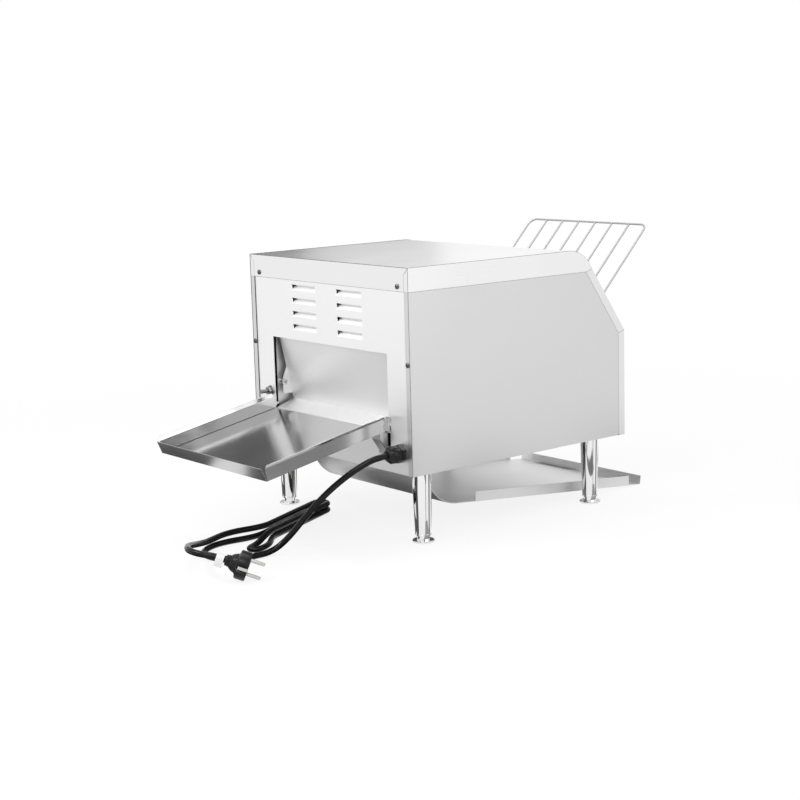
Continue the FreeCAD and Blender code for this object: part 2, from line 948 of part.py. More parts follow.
def inner_plates():
    """Side plates that carry the shafts, elements, reflectors and deflector."""
    front = front_y + inner_front_inset
    rear = back_y - inner_rear_inset
    mouth_z = base_z + inner_mouth_height
    slope_front = slant_y(mouth_z, inner_slant_inset)
    outline = [
        (front, plate_top),
        (front, knee_z + (front - slant_y(knee_z, inner_slant_inset)) * math.tan(slant_angle)),
        (slope_front, mouth_z),
        (slope_front + inner_mouth_depth, mouth_z),
        (front_y + inner_bend_inset, base_z + inner_bend_height),
        (rear, base_z + inner_back_height),
        (rear, plate_top),
    ]
    x0 = inner_plate_x
    x1 = x0 + inner_sheet
    plate = side_prism(outline, x0, x1)
    foot = box(x0, x1 + inner_foot, front, rear, plate_top, plate_top + inner_sheet)
    tools = []
    for y, z in ((drive_y, drive_z), (idler_y, idler_z)):
        tools.append(rod(Vector(x0 - overrun, y, z), Vector(x1 + overrun, y, z), bush_radius + running_gap))
    upper, lower = element_spots()
    for y, z in upper + lower:
        tools.append(rod(Vector(x0 - overrun, y, z), Vector(x1 + overrun, y, z),
                         holder_boss_radius + running_gap))
    screw = Vector(x0 - overrun, deflector_screw_y, base_z + deflector_screw_height)
    tools.append(rod(screw, screw + Vector(3 * overrun, 0, 0), screw_shank_radius + running_gap))
    right = cut(fuse([plate, foot]), tools)
    left = mirrored(right)
    hole = Vector(x0 - overrun, motor_y, motor_z)
    right = cut(right, [rod(hole, hole + Vector(3 * overrun, 0, 0), motor_shaft_hole_radius)])
    save("left_inner_plate", left)
    save("right_inner_plate", right)


def reflectors_and_chute():
    """Bent sheets above and below the belt, and the chute down to the toast outlet."""
    half = inner_plate_x - lie_gap
    upper = [
        on_conveyor(upper_reflector_back, upper_reflector_height),
        on_conveyor(belt_reach - upper_reflector_front_gap, upper_reflector_height),
        (front_y + baffle_top_inset, base_z + baffle_top_height),
    ]
    save("upper_reflector", bent_sheet(upper, -thin_sheet, -half, half))
    lower = [
        on_conveyor(lower_reflector_back, lower_reflector_height),
        on_conveyor(belt_reach - lower_reflector_front_gap, lower_reflector_height),
    ]
    save("lower_reflector", bent_sheet(lower, thin_sheet, -half, half))
    chute = [
        (chute_top_y, base_z + chute_top_height),
        (chute_foot_y, plate_top),
        (chute_foot_y + chute_foot_length, plate_top),
    ]
    save("drop_chute", bent_sheet(chute, thin_sheet, -chute_half_width, chute_half_width))


def rear_deflector():
    """Bent sheet that closes the rear opening, held by forked ears on two screws."""
    bend = [
        (deflector_foot_y, base_z + deflector_foot_height),
        (deflector_low_y, base_z + deflector_low_height),
        (deflector_top_y, base_z + deflector_top_height),
    ]
    sheet_shape = bent_sheet(bend, -thin_sheet, -deflector_half_width, deflector_half_width)
    lean = (deflector_top_y - deflector_low_y) / (deflector_top_height - deflector_low_height)
    low_y = deflector_low_y + lean * (ear_low - deflector_low_height)
    high_y = deflector_low_y + lean * (ear_high - deflector_low_height)
    outline = [
        (low_y, base_z + ear_low),
        (low_y + ear_width, base_z + ear_low),
        (low_y + ear_width, base_z + deflector_screw_height + ear_slot_width),
        (high_y + thin_sheet, base_z + ear_high),
        (high_y, base_z + ear_high),
    ]
    ear = side_prism(outline, deflector_half_width - thin_sheet, deflector_half_width)
    slot_z = base_z + deflector_screw_height
    slot = box(deflector_half_width - overrun, deflector_half_width + overrun,
               deflector_screw_y - ear_slot_width / 2, deflector_screw_y + ear_width,
               slot_z - ear_slot_width / 2, slot_z + ear_slot_width / 2)
    ear = cut(ear, [slot])
    save("rear_deflector", fuse([sheet_shape] + both_sides(ear)))
    place = Vector(deflector_half_width - thin_sheet, deflector_screw_y, slot_z)
    length = inner_plate_x + inner_sheet + overrun - deflector_half_width
    screw = pan_screw(place - Vector(seat_gap, 0, 0), Vector(-1, 0, 0), deflector_screw_head_radius,
                      deflector_screw_head_height, screw_shank_radius, length)
    spacer = rod(place + Vector(thin_sheet + seat_gap, 0, 0),
                 Vector(inner_plate_x, place.y, place.z), deflector_spacer_radius)
    save("deflector_screws", *both_sides(fuse([screw, spacer])))


def heating_elements():
    """Quartz tubes with metal ends, and the ceramic holders that carry them in the plates."""
    axis = Vector(1, 0, 0)
    across = Vector(0, 1, 0)
    body = element_end - element_cap_length
    tube_outline = [
        (-element_end, 0),
        (-element_end, element_cap_radius),
        (-body, element_cap_radius),
        (-body, element_radius),
        (body, element_radius),
        (body, element_cap_radius),
        (element_end, element_cap_radius),
        (element_end, 0),
    ]
    inside = inner_plate_x - holder_boss_length
    outside = inner_plate_x + inner_sheet
    bore = element_cap_radius + running_gap
    holder_outline = [
        (inside, bore),
        (inside, holder_boss_radius),
        (outside, holder_boss_radius),
        (outside, holder_radius),
        (outside + holder_width, holder_radius),
        (outside + holder_width, bore),
    ]
    for name, spots in zip(("upper", "lower"), element_spots()):
        tubes = []
        holders = []
        for y, z in spots:
            origin = Vector(0, y, z)
            tubes.append(revolved(tube_outline, origin, axis, across))
            holders.extend(both_sides(revolved(holder_outline, origin, axis, across)))
        save(name + "_elements", *tubes)
        save(name + "_element_holders", *holders)


def loop_stations(centre, heading, reach, links, teeth, radius):
    """Points of a chain round two equal wheels; the second lies reach away along heading."""
    step = reach / links
    along = (math.cos(heading), math.sin(heading))
    across = (-along[1], along[0])
    stations = []
    for side, order in ((1, range(links + 1)), (-1, range(links, -1, -1))):
        for index in order:
            stations.append((centre[0] + along[0] * step * index + across[0] * radius * side,
                             centre[1] + along[1] * step * index + across[1] * radius * side))
        end = reach if side == 1 else 0
        for index in range(1, teeth // 2):
            turn = 2 * math.pi * index / teeth
            out = math.sin(turn) * side * radius + end
            over = math.cos(turn) * side * radius
            stations.append((centre[0] + along[0] * out + across[0] * over,
                             centre[1] + along[1] * out + across[1] * over))
    return stations


def loop_band(centre, heading, reach, radius, half_height, x0, x1):
    """Flat band round two equal wheels, drawn out from x0 to x1."""
    sides = []
    for grown in (radius + half_height, radius - half_height):
        along = Vector(0, math.cos(heading), math.sin(heading))
        across = Vector(0, -math.sin(heading), math.cos(heading))
        first = Vector(x0, centre[0], centre[1])
        second = first + along * reach
        edges = [
            Part.LineSegment(first + across * grown, second + across * grown).toShape(),
            Part.Arc(second + across * grown, second + along * grown,
                     second - across * grown).toShape(),
            Part.LineSegment(second - across * grown, first - across * grown).toShape(),
            Part.Arc(first - across * grown, first - along * grown,
                     first + across * grown).toShape(),
        ]
        sides.append(Part.Face(Part.Wire(edges)).extrude(Vector(x1 - x0, 0, 0)))
    return sides[0].cut(sides[1])


def hex_rods(stations, radius, x0, x1):
    """Faceted rods along X at each station."""
    rods = []
    for y, z in stations:
        rods.append(hexagon(Vector(x0, y, z), Vector(1, 0, 0), radius, x1 - x0))
    return rods


def conveyor_belt():
    """Ladder wire belt: cross rods joined by flat side bands, round both sprocket sets."""
    heading = math.pi - conveyor_tilt
    centre = (drive_y, drive_z)
    stations = loop_stations(centre, heading, belt_reach, belt_straight_links, belt_teeth,
                             belt_wheel_radius)
    rods = hex_rods(stations, belt_rod_radius, -belt_half_width, belt_half_width)
    lane = belt_half_width * belt_lane_share
    bands = []
    for x in (-belt_half_width, -lane, lane - belt_band_width, belt_half_width - belt_band_width):
        bands.append(loop_band(centre, heading, belt_reach, belt_wheel_radius,
                               belt_band_half_height, x, x + belt_band_width))
    save("conveyor_belt", fuse(rods + bands))


def toothed_wheel(centre, lean, x, width, radius, teeth, clear_radius, notch, hub_radius,
                  hub_width, bore):
    """Sprocket on the X axis, its tips just inside the rods of its chain, turned by lean."""
    tip = radius - clear_radius - seat_gap
    first = Vector(x - width / 2, centre[0], centre[1])
    disc = Part.makeCylinder(tip, width, first, Vector(1, 0, 0))
    hub = Part.makeCylinder(hub_radius, hub_width, Vector(x - hub_width / 2, centre[0], centre[1]),
                            Vector(1, 0, 0))
    tools = [Part.makeCylinder(bore, hub_width + 2 * overrun,
                               Vector(x - hub_width / 2 - overrun, centre[0], centre[1]),
                               Vector(1, 0, 0))]
    for index in range(teeth):
        angle = 2 * math.pi * (index + 0.5) / teeth + lean
        place = first + Vector(-overrun, tip * math.sin(angle), tip * math.cos(angle))
        tools.append(Part.makeCylinder(notch, width + 2 * overrun, place, Vector(1, 0, 0)))
    return cut(disc.fuse(hub), tools).removeSplitter()


def shafts_and_sprockets():
    """Drive and idler shafts with three belt sprockets each, and their bushes."""
    bore = shaft_radius + running_gap
    lane = belt_half_width * belt_wheel_lane_share
    places = (("drive", drive_y, drive_z), ("idler", idler_y, idler_z))
    bushes = []
    for name, y, z in places:
        right_end = chain_x + chain_hub_width / 2 if name == "drive" else shaft_end
        save(name + "_shaft", rod(Vector(-shaft_end, y, z), Vector(right_end, y, z), shaft_radius))
        wheels = []
        for x in (-lane, 0, lane):
            wheels.append(toothed_wheel((y, z), conveyor_tilt, x, belt_wheel_width, belt_wheel_radius,
                                        belt_teeth, belt_rod_radius, tooth_notch_radius,
                                        belt_hub_radius, belt_hub_width, bore))
        save(name + "_sprockets", *wheels)
        outline = [
            (inner_plate_x - bush_flange_width, bore),
            (inner_plate_x - bush_flange_width, bush_flange_radius),
            (inner_plate_x, bush_flange_radius),
            (inner_plate_x, bush_radius),
            (inner_plate_x + 2 * inner_sheet, bush_radius),
            (inner_plate_x + 2 * inner_sheet, bore),
        ]
        bush = revolved(outline, Vector(0, y, z), Vector(1, 0, 0), Vector(0, 1, 0))
        bushes.extend(both_sides(bush))
    save("shaft_bushes", *bushes)


def chain_drive():
    """Chain wheel on the drive shaft, motor sprocket with its shaft, and the chain."""
    bore = shaft_radius + running_gap
    wheel = toothed_wheel((drive_y, drive_z), -chain_drop_angle, chain_x, chain_wheel_width,
                          chain_wheel_radius, chain_teeth, chain_roller_radius, tooth_notch_radius,
                          chain_hub_radius, chain_hub_width, bore)
    save("chain_wheel", wheel)
    small = toothed_wheel((motor_y, motor_z), -chain_drop_angle, chain_x, chain_wheel_width,
                          chain_wheel_radius, chain_teeth, chain_roller_radius, tooth_notch_radius,
                          chain_hub_radius, chain_hub_width, motor_shaft_radius)
    start = Vector(gearbox_face() - motor_shaft_depth + seat_gap, motor_y, motor_z)
    shaft = rod(start, Vector(chain_x + chain_hub_width / 2, motor_y, motor_z), motor_shaft_radius)
    save("motor_sprocket", fuse([small, shaft]))
    heading = math.pi + chain_drop_angle
    centre = (drive_y, drive_z)
    stations = loop_stations(centre, heading, chain_reach, chain_straight_links, chain_teeth,
                             chain_wheel_radius)
    x0 = chain_x - chain_half_width
    x1 = chain_x + chain_half_width
    rollers = hex_rods(stations, chain_roller_radius, x0, x1)
    bands = [
        loop_band(centre, heading, chain_reach, chain_wheel_radius, chain_band_half_height,
                  x0 - chain_band_width, x0),
        loop_band(centre, heading, chain_reach, chain_wheel_radius, chain_band_half_height,
                  x1, x1 + chain_band_width),
    ]
    save("drive_chain", fuse(rollers + bands))


def gearbox_face():
    """X of the gearbox's output face."""
    return inner_plate_x - motor_plate_gap - motor_plate_thickness


def gear_motor():
    """Gear motor with a stepped round body, and the angle plate that carries it."""
    face = gearbox_face()
    axis = Vector(1, 0, 0)
    gearbox = rod(Vector(face - gearbox_length, motor_y, motor_z), Vector(face, motor_y, motor_z),
                  gearbox_radius)
    can_start = face - gearbox_length - motor_can_length
    can = rod(Vector(can_start, motor_y, motor_z), Vector(face - gearbox_length, motor_y, motor_z),
              motor_can_radius)
    bore = rod(Vector(face - motor_shaft_depth, motor_y, motor_z),
               Vector(face + overrun, motor_y, motor_z), motor_shaft_radius + running_gap)
    save("gear_motor", cut(fuse([gearbox, can]), [bore]))
    plate = box(face, face + motor_plate_thickness, motor_y - motor_plate_half_width,
                motor_y + motor_plate_half_width, plate_top, motor_z + motor_plate_over)
    foot_x = face + motor_plate_thickness - motor_plate_foot
    foot = box(foot_x, face + motor_plate_thickness, motor_y - motor_plate_half_width,
               motor_y + motor_plate_half_width, plate_top, plate_top + motor_plate_thickness)
    hole = Part.makeCylinder(motor_shaft_hole_radius, motor_plate_thickness + 2 * overrun,
                             Vector(face - overrun, motor_y, motor_z), axis)
    save("motor_bracket", cut(fuse([plate, foot]), [hole]))


def fan():
    """Axial fan lying on the base plate: frame with struts and pin, and bladed rotor."""
    centre = Vector(fan_x, fan_y, plate_top)
    half = fan_size / 2
    frame = box(fan_x - half, fan_x + half, fan_y - half, fan_y + half, plate_top,
                plate_top + fan_depth)
    bore = Part.makeCylinder(fan_bore_radius, fan_depth + 2 * overrun, centre - Vector(0, 0, overrun))
    seat = Part.makeCylinder(fan_hub_radius, fan_floor, centre)
    pin_height = fan_depth - 2 * fan_floor
    pin = Part.makeCylinder(fan_pin_radius, pin_height, centre)
    struts = [
        box(fan_x - half, fan_x + half, fan_y - fan_strut_width / 2, fan_y + fan_strut_width / 2,
            plate_top, plate_top + fan_floor),
        box(fan_x - fan_strut_width / 2, fan_x + fan_strut_width / 2, fan_y - half, fan_y + half,
            plate_top, plate_top + fan_floor),
    ]
    save("fan_frame", fuse([cut(frame, [bore]), seat, pin] + struts))
    low = plate_top + fan_floor + seat_gap
    hub_height = fan_depth - fan_floor - sheet
    hub = Part.makeCylinder(fan_hub_radius, hub_height, Vector(fan_x, fan_y, low))
    blades = []
    for index in range(fan_blades):
        blade = box(fan_hub_radius - fan_blade_root, fan_blade_radius, -fan_blade_thickness / 2,
                    fan_blade_thickness / 2, -fan_blade_height / 2, fan_blade_height / 2)
        blade.rotate(Vector(0, 0, 0), Vector(1, 0, 0), fan_blade_tilt)
        blade.rotate(Vector(0, 0, 0), Vector(0, 0, 1), 360 * index / fan_blades)
        blade.translate(Vector(fan_x, fan_y, low + hub_height / 2))
        blades.append(blade)
    sweep = Part.makeCylinder(fan_blade_radius, fan_depth, Vector(fan_x, fan_y, low))
    hole = Part.makeCylinder(fan_pin_radius + running_gap, pin_height, Vector(fan_x, fan_y, plate_top))
    save("fan_rotor", cut(fuse([hub] + blades).common(sweep), [hole]))


def electrical_parts():
    """Terminal block and control board in the left side compartment."""
    half_x = terminal_width / 2
    half_y = terminal_length / 2
    block = box(terminal_x - half_x, terminal_x + half_x, terminal_y - half_y, terminal_y + half_y,
                plate_top, plate_top + terminal_height)
    tools = []
    for index in range(terminal_poles):
        y = terminal_y - half_y + (index + 0.5) * terminal_length / terminal_poles
        for x in (terminal_x - half_x / 2, terminal_x + half_x / 2):
            tools.append(Part.makeCylinder(terminal_screw_radius, terminal_screw_depth + overrun,
                                           Vector(x, y, plate_top + terminal_height - terminal_screw_depth)))
    save("terminal_block", cut(block, tools))
    half_x = board_width / 2
    half_y = board_length / 2
    low = plate_top + board_stand
    pieces = [box(board_x - half_x, board_x + half_x, board_y - half_y, board_y + half_y,
                  low, low + board_thickness)]
    for x in (board_x - half_x + board_post_inset, board_x + half_x - board_post_inset):
        for y in (board_y - half_y + board_post_inset, board_y + half_y - board_post_inset):
            pieces.append(Part.makeCylinder(board_post_radius, board_stand, Vector(x, y, plate_top)))
    top = low + board_thickness
    for index in range(relays):
        y = board_y - half_y + (index + 0.5) * board_length / relays
        pieces.append(box(board_x - relay_width / 2, board_x + relay_width / 2, y - relay_length / 2,
                          y + relay_length / 2, top, top + relay_height))
    save("control_board", fuse(pieces))


def knob(x):
    """Turning knob with a raised grip and its spindle through the panel."""
    out = Vector(0, -1, 0)
    face = Vector(x, front_y - seat_gap, base_z + knob_height)
    outline = [
        (0, 0),
        (0, knob_radius),
        (knob_skirt, knob_radius),
        (knob_skirt, knob_radius - knob_skirt / 2),
        (knob_depth - knob_grip_rise, knob_radius - knob_skirt),
        (knob_depth - knob_grip_rise, 0),
    ]
    body = revolved(outline, face, out, Vector(1, 0, 0))
    reach = knob_radius - knob_skirt
    grip = box(x - knob_grip_width / 2, x + knob_grip_width / 2, face.y - knob_depth, face.y - knob_skirt,
               face.z - reach, face.z + reach)
    spindle = rod(face, face + Vector(0, seat_gap + sheet + spindle_length, 0), spindle_radius)
    return fuse([body, grip, spindle])


def controls():
    """Knobs, heat switch, speed potentiometer and power lamp."""
    inner = front_y + sheet
    z = base_z + knob_height
    half = switch_size / 2
    save("heat_knob", knob(knob_x))
    save("speed_knob", knob(-knob_x))
    bores = []
    for x in (knob_x, -knob_x):
        bores.append(rod(Vector(x, inner - overrun, z), Vector(x, inner + spindle_length + seat_gap, z),
                         spindle_radius + running_gap))
    switch = box(knob_x - half, knob_x + half, inner, inner + switch_depth, z - half, z + half)
    save("heat_switch", cut(switch, bores[:1]))
    potentiometer = rod(Vector(-knob_x, inner, z), Vector(-knob_x, inner + potentiometer_depth, z),
                        potentiometer_radius)
    save("speed_potentiometer", cut(potentiometer, bores[1:]))
    lamp_z = base_z + lamp_height
    body = rod(Vector(0, front_y, lamp_z), Vector(0, front_y + lamp_length, lamp_z), lamp_radius)
    bezel = rod(Vector(0, front_y - lamp_bezel_height, lamp_z), Vector(0, front_y, lamp_z),
                lamp_bezel_radius)
    nut = rod(Vector(0, inner, lamp_z), Vector(0, inner + lamp_bezel_height, lamp_z), lamp_bezel_radius)
    save("power_lamp", fuse([body, bezel, nut]))


def rear_tray():
    """Rear tray: sloping floor, flared walls, outer lip and hook ears at its inner end."""
    length = tray_length
    floor = box(-tray_half_width, tray_half_width, 0, length, 0, thin_sheet)
    inner_x = tray_half_width - thin_sheet
    rise = thin_sheet * math.tan(math.pi / 8)
    corners = [
        (inner_x, 0),
        (tray_half_width, 0),
        (tray_half_width, tray_wall),
        (tray_half_width + tray_flare, tray_wall + tray_flare),
        (tray_half_width + tray_flare - thin_sheet / math.sqrt(2),
         tray_wall + tray_flare + thin_sheet / math.sqrt(2)),
        (inner_x, tray_wall + rise),
    ]
    points = [Vector(x, 0, z) for x, z in corners]
    points.append(points[0])
    wall = Part.Face(Part.makePolygon(points)).extrude(Vector(0, length - tray_corner_gap, 0))
    lip = side_prism([
        (length - thin_sheet, 0),
        (length, 0),
        (length + tray_lip_lean, tray_lip_height),
        (length + tray_lip_lean - thin_sheet, tray_lip_height),
    ], -tray_half_width + tray_corner_gap, tray_half_width - tray_corner_gap)
    tray = fuse([floor, lip] + both_sides(wall))
    tray.rotate(Vector(0, 0, 0), Vector(1, 0, 0), -math.degrees(tray_slope))
    tray.translate(Vector(0, tray_start_y, base_z + tray_start_height))
    save("rear_tray", fuse([tray] + both_sides(tray_ear())))


def tray_ear():
    """End tab on the tray's wall, with the hook that drops into the panel's slot."""
    near = back_y + seat_gap
    low = base_z + rear_opening_bottom + 2 * sheet
    high = base_z + tray_tab_top
    inner_x = tray_half_width - thin_sheet
    tab = box(inner_x, hook_slot_outer, near, tray_start_y + 2 * sheet, low, high)
    hollow = box(inner_x - overrun, hook_slot_outer + overrun, near + thin_sheet,
                 tray_start_y + 2 * overrun, low - overrun, high + overrun)
    tab = cut(tab, [hollow])
    lug = box(inner_x, tray_half_width, near, tray_start_y + 3 * sheet, low + sheet, high - 2 * sheet)
    notch_z = base_z + tray_notch_height
    notch = Part.Face(Part.makePolygon([
        Vector(hook_slot_outer + overrun, near - overrun, notch_z + tray_notch + overrun),
        Vector(hook_slot_outer - tray_notch, near - overrun, notch_z),
        Vector(hook_slot_outer + overrun, near - overrun, notch_z - tray_notch - overrun),
        Vector(hook_slot_outer + overrun, near - overrun, notch_z + tray_notch + overrun),
    ])).extrude(Vector(0, 3 * overrun, 0))
    tab = cut(tab, [notch])
    rest = base_z + rear_opening_bottom - hook_slot_depth + seat_gap
    inside = panel_y - 2 * seat_gap
    outline = [
        (near + thin_sheet, low + hook_height),
        (near + thin_sheet, rest),
        (inside, rest),
        (inside, rest - hook_finger_depth),
        (inside - hook_finger_width, rest - hook_finger_depth),
        (inside - hook_finger_width, low + hook_height),
    ]
    hook = side_prism(outline, hook_x, hook_x + thin_sheet)
    return fuse([tab, lug, hook])


def tray_brackets():
    """Bent rests on the back panel under the rear tray's inner end."""
    face = panel_y + sheet
    out = face + bracket_stand_off
    low = base_z + bracket_bottom
    bend = low + bracket_bend
    under = base_z + tray_start_height - (out - tray_start_y) * math.tan(tray_slope) - seat_gap
    points = [
        (face, low),
        (face, bend),
        (out, bend + bracket_rise),
        (out, under),
    ]
    bracket = bent_sheet(points, -thin_sheet, bracket_inner_x, bracket_outer_x)
    save("tray_brackets", *both_sides(bracket))


def front_tray():
    """Front tray: sloping floor with a quarter-round rear end, low walls and a front lip."""
    slope = front_tray_slope
    low_y = front_tray_front
    low_z = front_tray_clearance
    curve_y = front_tray_curve_y
    curve_z = low_z + (curve_y - low_y) * math.tan(slope)
    centre_y = curve_y - front_tray_radius * math.sin(slope)
    centre_z = curve_z + front_tray_radius * math.cos(slope)
    radius = front_tray_radius
    middle = (slope - math.pi / 2) / 2
    hook_z = front_tray_hook_height

    def outline_edges(inset, x):
        """Open profile from the lip's top to the hook's end, moved inward."""
        r = radius - inset
        lip_top = Vector(x, low_y - front_tray_lip_lean + inset, low_z + front_tray_lip_height)
        corner_y = low_y + inset
        corner_z = low_z + (corner_y - low_y) * math.tan(slope) + inset / math.cos(slope)
        corner = Vector(x, corner_y, corner_z)
        tangent = Vector(x, centre_y + r * math.sin(slope), centre_z - r * math.cos(slope))
        angle = middle
        on_arc = Vector(x, centre_y + r * math.cos(angle), centre_z + r * math.sin(angle))
        top = Vector(x, centre_y + r, centre_z)
        return lip_top, corner, tangent, on_arc, top

    half = front_tray_half_width - thin_sheet
    outer = outline_edges(0, -half)
    inner = outline_edges(thin_sheet, -half)
    shelf = hook_z
    out_y = outer[4].y + front_tray_hook
    edges = [
        Part.LineSegment(outer[0], outer[1]).toShape(),
        Part.LineSegment(outer[1], outer[2]).toShape(),
        Part.Arc(outer[2], outer[3], outer[4]).toShape(),
        Part.LineSegment(outer[4], Vector(-half, outer[4].y, shelf)).toShape(),
        Part.LineSegment(Vector(-half, outer[4].y, shelf), Vector(-half, out_y, shelf)).toShape(),
        Part.LineSegment(Vector(-half, out_y, shelf), Vector(-half, out_y, shelf + thin_sheet)).toShape(),
        Part.LineSegment(Vector(-half, out_y, shelf + thin_sheet),
                         Vector(-half, inner[4].y, shelf + thin_sheet)).toShape(),
        Part.LineSegment(Vector(-half, inner[4].y, shelf + thin_sheet), inner[4]).toShape(),
        Part.Arc(inner[4], inner[3], inner[2]).toShape(),
        Part.LineSegment(inner[2], inner[1]).toShape(),
        Part.LineSegment(inner[1], inner[0]).toShape(),
        Part.LineSegment(inner[0], outer[0]).toShape(),
    ]
    floor = Part.Face(Part.Wire(edges)).extrude(Vector(2 * half, 0, 0))

    def floor_z(y):
        """Height of the floor's underside."""
        return low_z + (y - low_y) * math.tan(slope)

    back = back_y - front_tray_wall_back_inset
    front = front_y - front_tray_wall_overhang
    wall_height = front_tray_wall / math.cos(slope)
    wall = side_prism([
        (back, floor_z(back)),
        (back, floor_z(back) + wall_height),
        (front, floor_z(front) + wall_height),
        (front, floor_z(front)),
    ], half, front_tray_half_width)
    save("front_tray", fuse([floor] + both_sides(wall)))
    save_hangers(out_y - front_tray_hook, hook_z)


def save_hangers(tray_back, hook_z):
    """Bent hangers under the base plate, with shelves for the front tray's rear edge."""
    shelf_top = hook_z - seat_gap
    shelf_y = tray_back + 2 * seat_gap
    web_y = tray_back + hanger_shelf
    points = [
        (shelf_y, shelf_top),
        (web_y, shelf_top),
        (web_y, base_z),
        (web_y + hanger_back, base_z),
    ]
    hanger = bent_sheet(points, -thin_sheet, hanger_x - hanger_width / 2, hanger_x + hanger_width / 2)
    save("front_tray_hangers", *both_sides(hanger))


def loading_rack():
    """Wire rack: an outer frame, inner wires bent over its top bar, and hooks at the lip."""
    wire = rack_wire_radius
    crossing = slant_point(feed_low + wire + seat_gap, 0)
    inward = sheet + wire + 2 * seat_gap + rack_hook_radius / 2
    way = (math.cos(rack_slope), -math.sin(rack_slope))
    top = (crossing[0] - way[0] * rack_length, crossing[1] - way[1] * rack_length)
    depth = inward / (way[0] * math.sin(slant_angle) - way[1] * math.cos(slant_angle))
    corner = (crossing[0] + way[0] * depth, crossing[1] + way[1] * depth)
    end = (corner[0] - rack_hook_length * math.cos(slant_angle),
           corner[1] - rack_hook_length * math.sin(slant_angle))

    def tube(points, radii):
        """Round wire along points with rounded corners."""
        path = Part.Wire(rounded_edges(points, radii, False))
        start = points[0]
        profile = Part.Wire(Part.makeCircle(wire, start, points[1] - start))
        return path.makePipeShell([profile], True, False)

    half = rack_half_width
    frame_points = []
    for x, order in ((-half, (end, corner, top)), (half, (top, corner, end))):
        frame_points.extend(Vector(x, y, z) for y, z in order)
    frame_radii = [0, rack_hook_radius, rack_corner_radius, rack_corner_radius, rack_hook_radius, 0]
    pieces = [tube(frame_points, frame_radii)]
    for share in rack_inner_shares:
        place = share * half
        for x in (-place, place):
            points = [Vector(x, top[0], top[1]), Vector(x, corner[0], corner[1]),
                      Vector(x, end[0], end[1])]
            pieces.append(tube(points, [0, rack_hook_radius, 0]))
            pieces.append(Part.makeSphere(wire, points[0]))
    bar_y = crossing[0] - way[0] * rack_bar_place + way[1] * 2 * wire * rack_bar_share
    bar_z = crossing[1] - way[1] * rack_bar_place - way[0] * 2 * wire * rack_bar_share
    pieces.append(rod(Vector(-half, bar_y, bar_z), Vector(half, bar_y, bar_z), wire))
    save("loading_rack", fuse(pieces))


def cable_gland():
    """Cable gland: locking nut inside, hexagonal foot and faceted dome outside."""
    axis = Vector(0, 1, 0)
    face = Vector(gland_x, panel_y + sheet, base_z + gland_height)
    start = face - axis * (sheet + gland_lock_length)
    thread = rod(start, face, gland_thread_radius)
    lock = hexagon(start, axis, gland_lock_radius, gland_lock_length)
    nut = hexagon(face, axis, gland_nut_radius, gland_nut_length)
    dome_end = gland_length - gland_nut_length
    outline = [
        (gland_nut_length, 0),
        (gland_nut_length, gland_dome_radius),
        (gland_nut_length + dome_end * gland_dome_share, gland_dome_radius),
        (gland_length, gland_nose_radius),
        (gland_length, 0),
    ]
    dome = revolved(outline, face, axis, Vector(1, 0, 0))
    save("cord_gland", fuse([thread, lock, nut, dome]))


def hank_point(along, across, up):
    """Point of the hank's own frame in the toaster's."""
    x = hank_start[0] + along * math.cos(hank_direction) + across * math.sin(hank_direction)
    y = hank_start[1] + along * math.sin(hank_direction) - across * math.cos(hank_direction)
    return Vector(x, y, up)


class CordWalk:
    """A route walked along the hank: straights, flat turns and gentle climbs."""

    def __init__(self, along, across, up, heading):
        self.place = [along, across, up]
        self.heading = heading
        self.edges = []
        self.samples = []

    def at(self, forward, left, rise):
        """Point beside the walker."""
        along = self.place[0] + forward * math.cos(self.heading) - left * math.sin(self.heading)
        across = self.place[1] + forward * math.sin(self.heading) + left * math.cos(self.heading)
        return [along, across, self.place[2] + rise]

    def line(self, length):
        """Walk straight on."""
        end = self.at(length, 0, 0)
        self.edges.append(Part.LineSegment(hank_point(*self.place), hank_point(*end)).toShape())
        self.place = end

    def turn(self, radius, angle):
        """Turn left for a positive angle, right for a negative one."""
        side = 1 if angle > 0 else -1
        def reach(share):
            swing = abs(angle) * share
            return self.at(radius * math.sin(swing), side * radius * (1 - math.cos(swing)), 0)
        start, middle, end = (hank_point(*reach(share)) for share in (0, 0.5, 1))
        self.edges.append(Part.Arc(start, middle, end).toShape())
        self.place = reach(1)
        self.heading += angle

    def climb(self, length, rise):
        """Go up by rise over a length, on two equal arcs."""
        swing = 2 * math.atan(rise / length)
        radius = length / (2 * math.sin(swing))
        for first in (True, False):
            points = []
            for share in (0, 0.5, 1):
                bend = swing * share
                if first:
                    points.append((radius * math.sin(bend), radius * (1 - math.cos(bend))))
                else:
                    points.append((radius * (math.sin(swing) - math.sin(swing - bend)),
                                   radius * (math.cos(swing - bend) - math.cos(swing))))
            ends = [hank_point(*self.at(forward, 0, up)) for forward, up in points]
            self.edges.append(Part.Arc(*ends).toShape())
            self.place = self.at(points[2][0], 0, points[2][1])


def sweep_swing(offset):
    """Angle of each half of a gentle sweep that moves the cord sideways."""
    return math.acos(1 - abs(offset) / (2 * hank_sweep_radius))


def sweep(walk, offset):
    """Move the walker sideways by offset on two arcs, left for a positive offset."""
    swing = sweep_swing(offset)
    side = 1 if offset > 0 else -1
    walk.turn(hank_sweep_radius, side * swing)
    walk.turn(hank_sweep_radius, -side * swing)


def sweep_length(offset):
    """Length that a sideways sweep takes along the hank."""
    return 2 * hank_sweep_radius * math.sin(sweep_swing(offset))


def hank_beginning():
    """Where the hank begins, in its own frame."""
    straight = 2 * cord_radius
    angle = hank_entry_angle
    along = hank_bulb_place + hank_bulb_radius * math.sin(angle) - straight * math.cos(angle)
    across = -hank_bulb_radius * math.cos(angle) - straight * math.sin(angle)
    return along, across, cord_radius


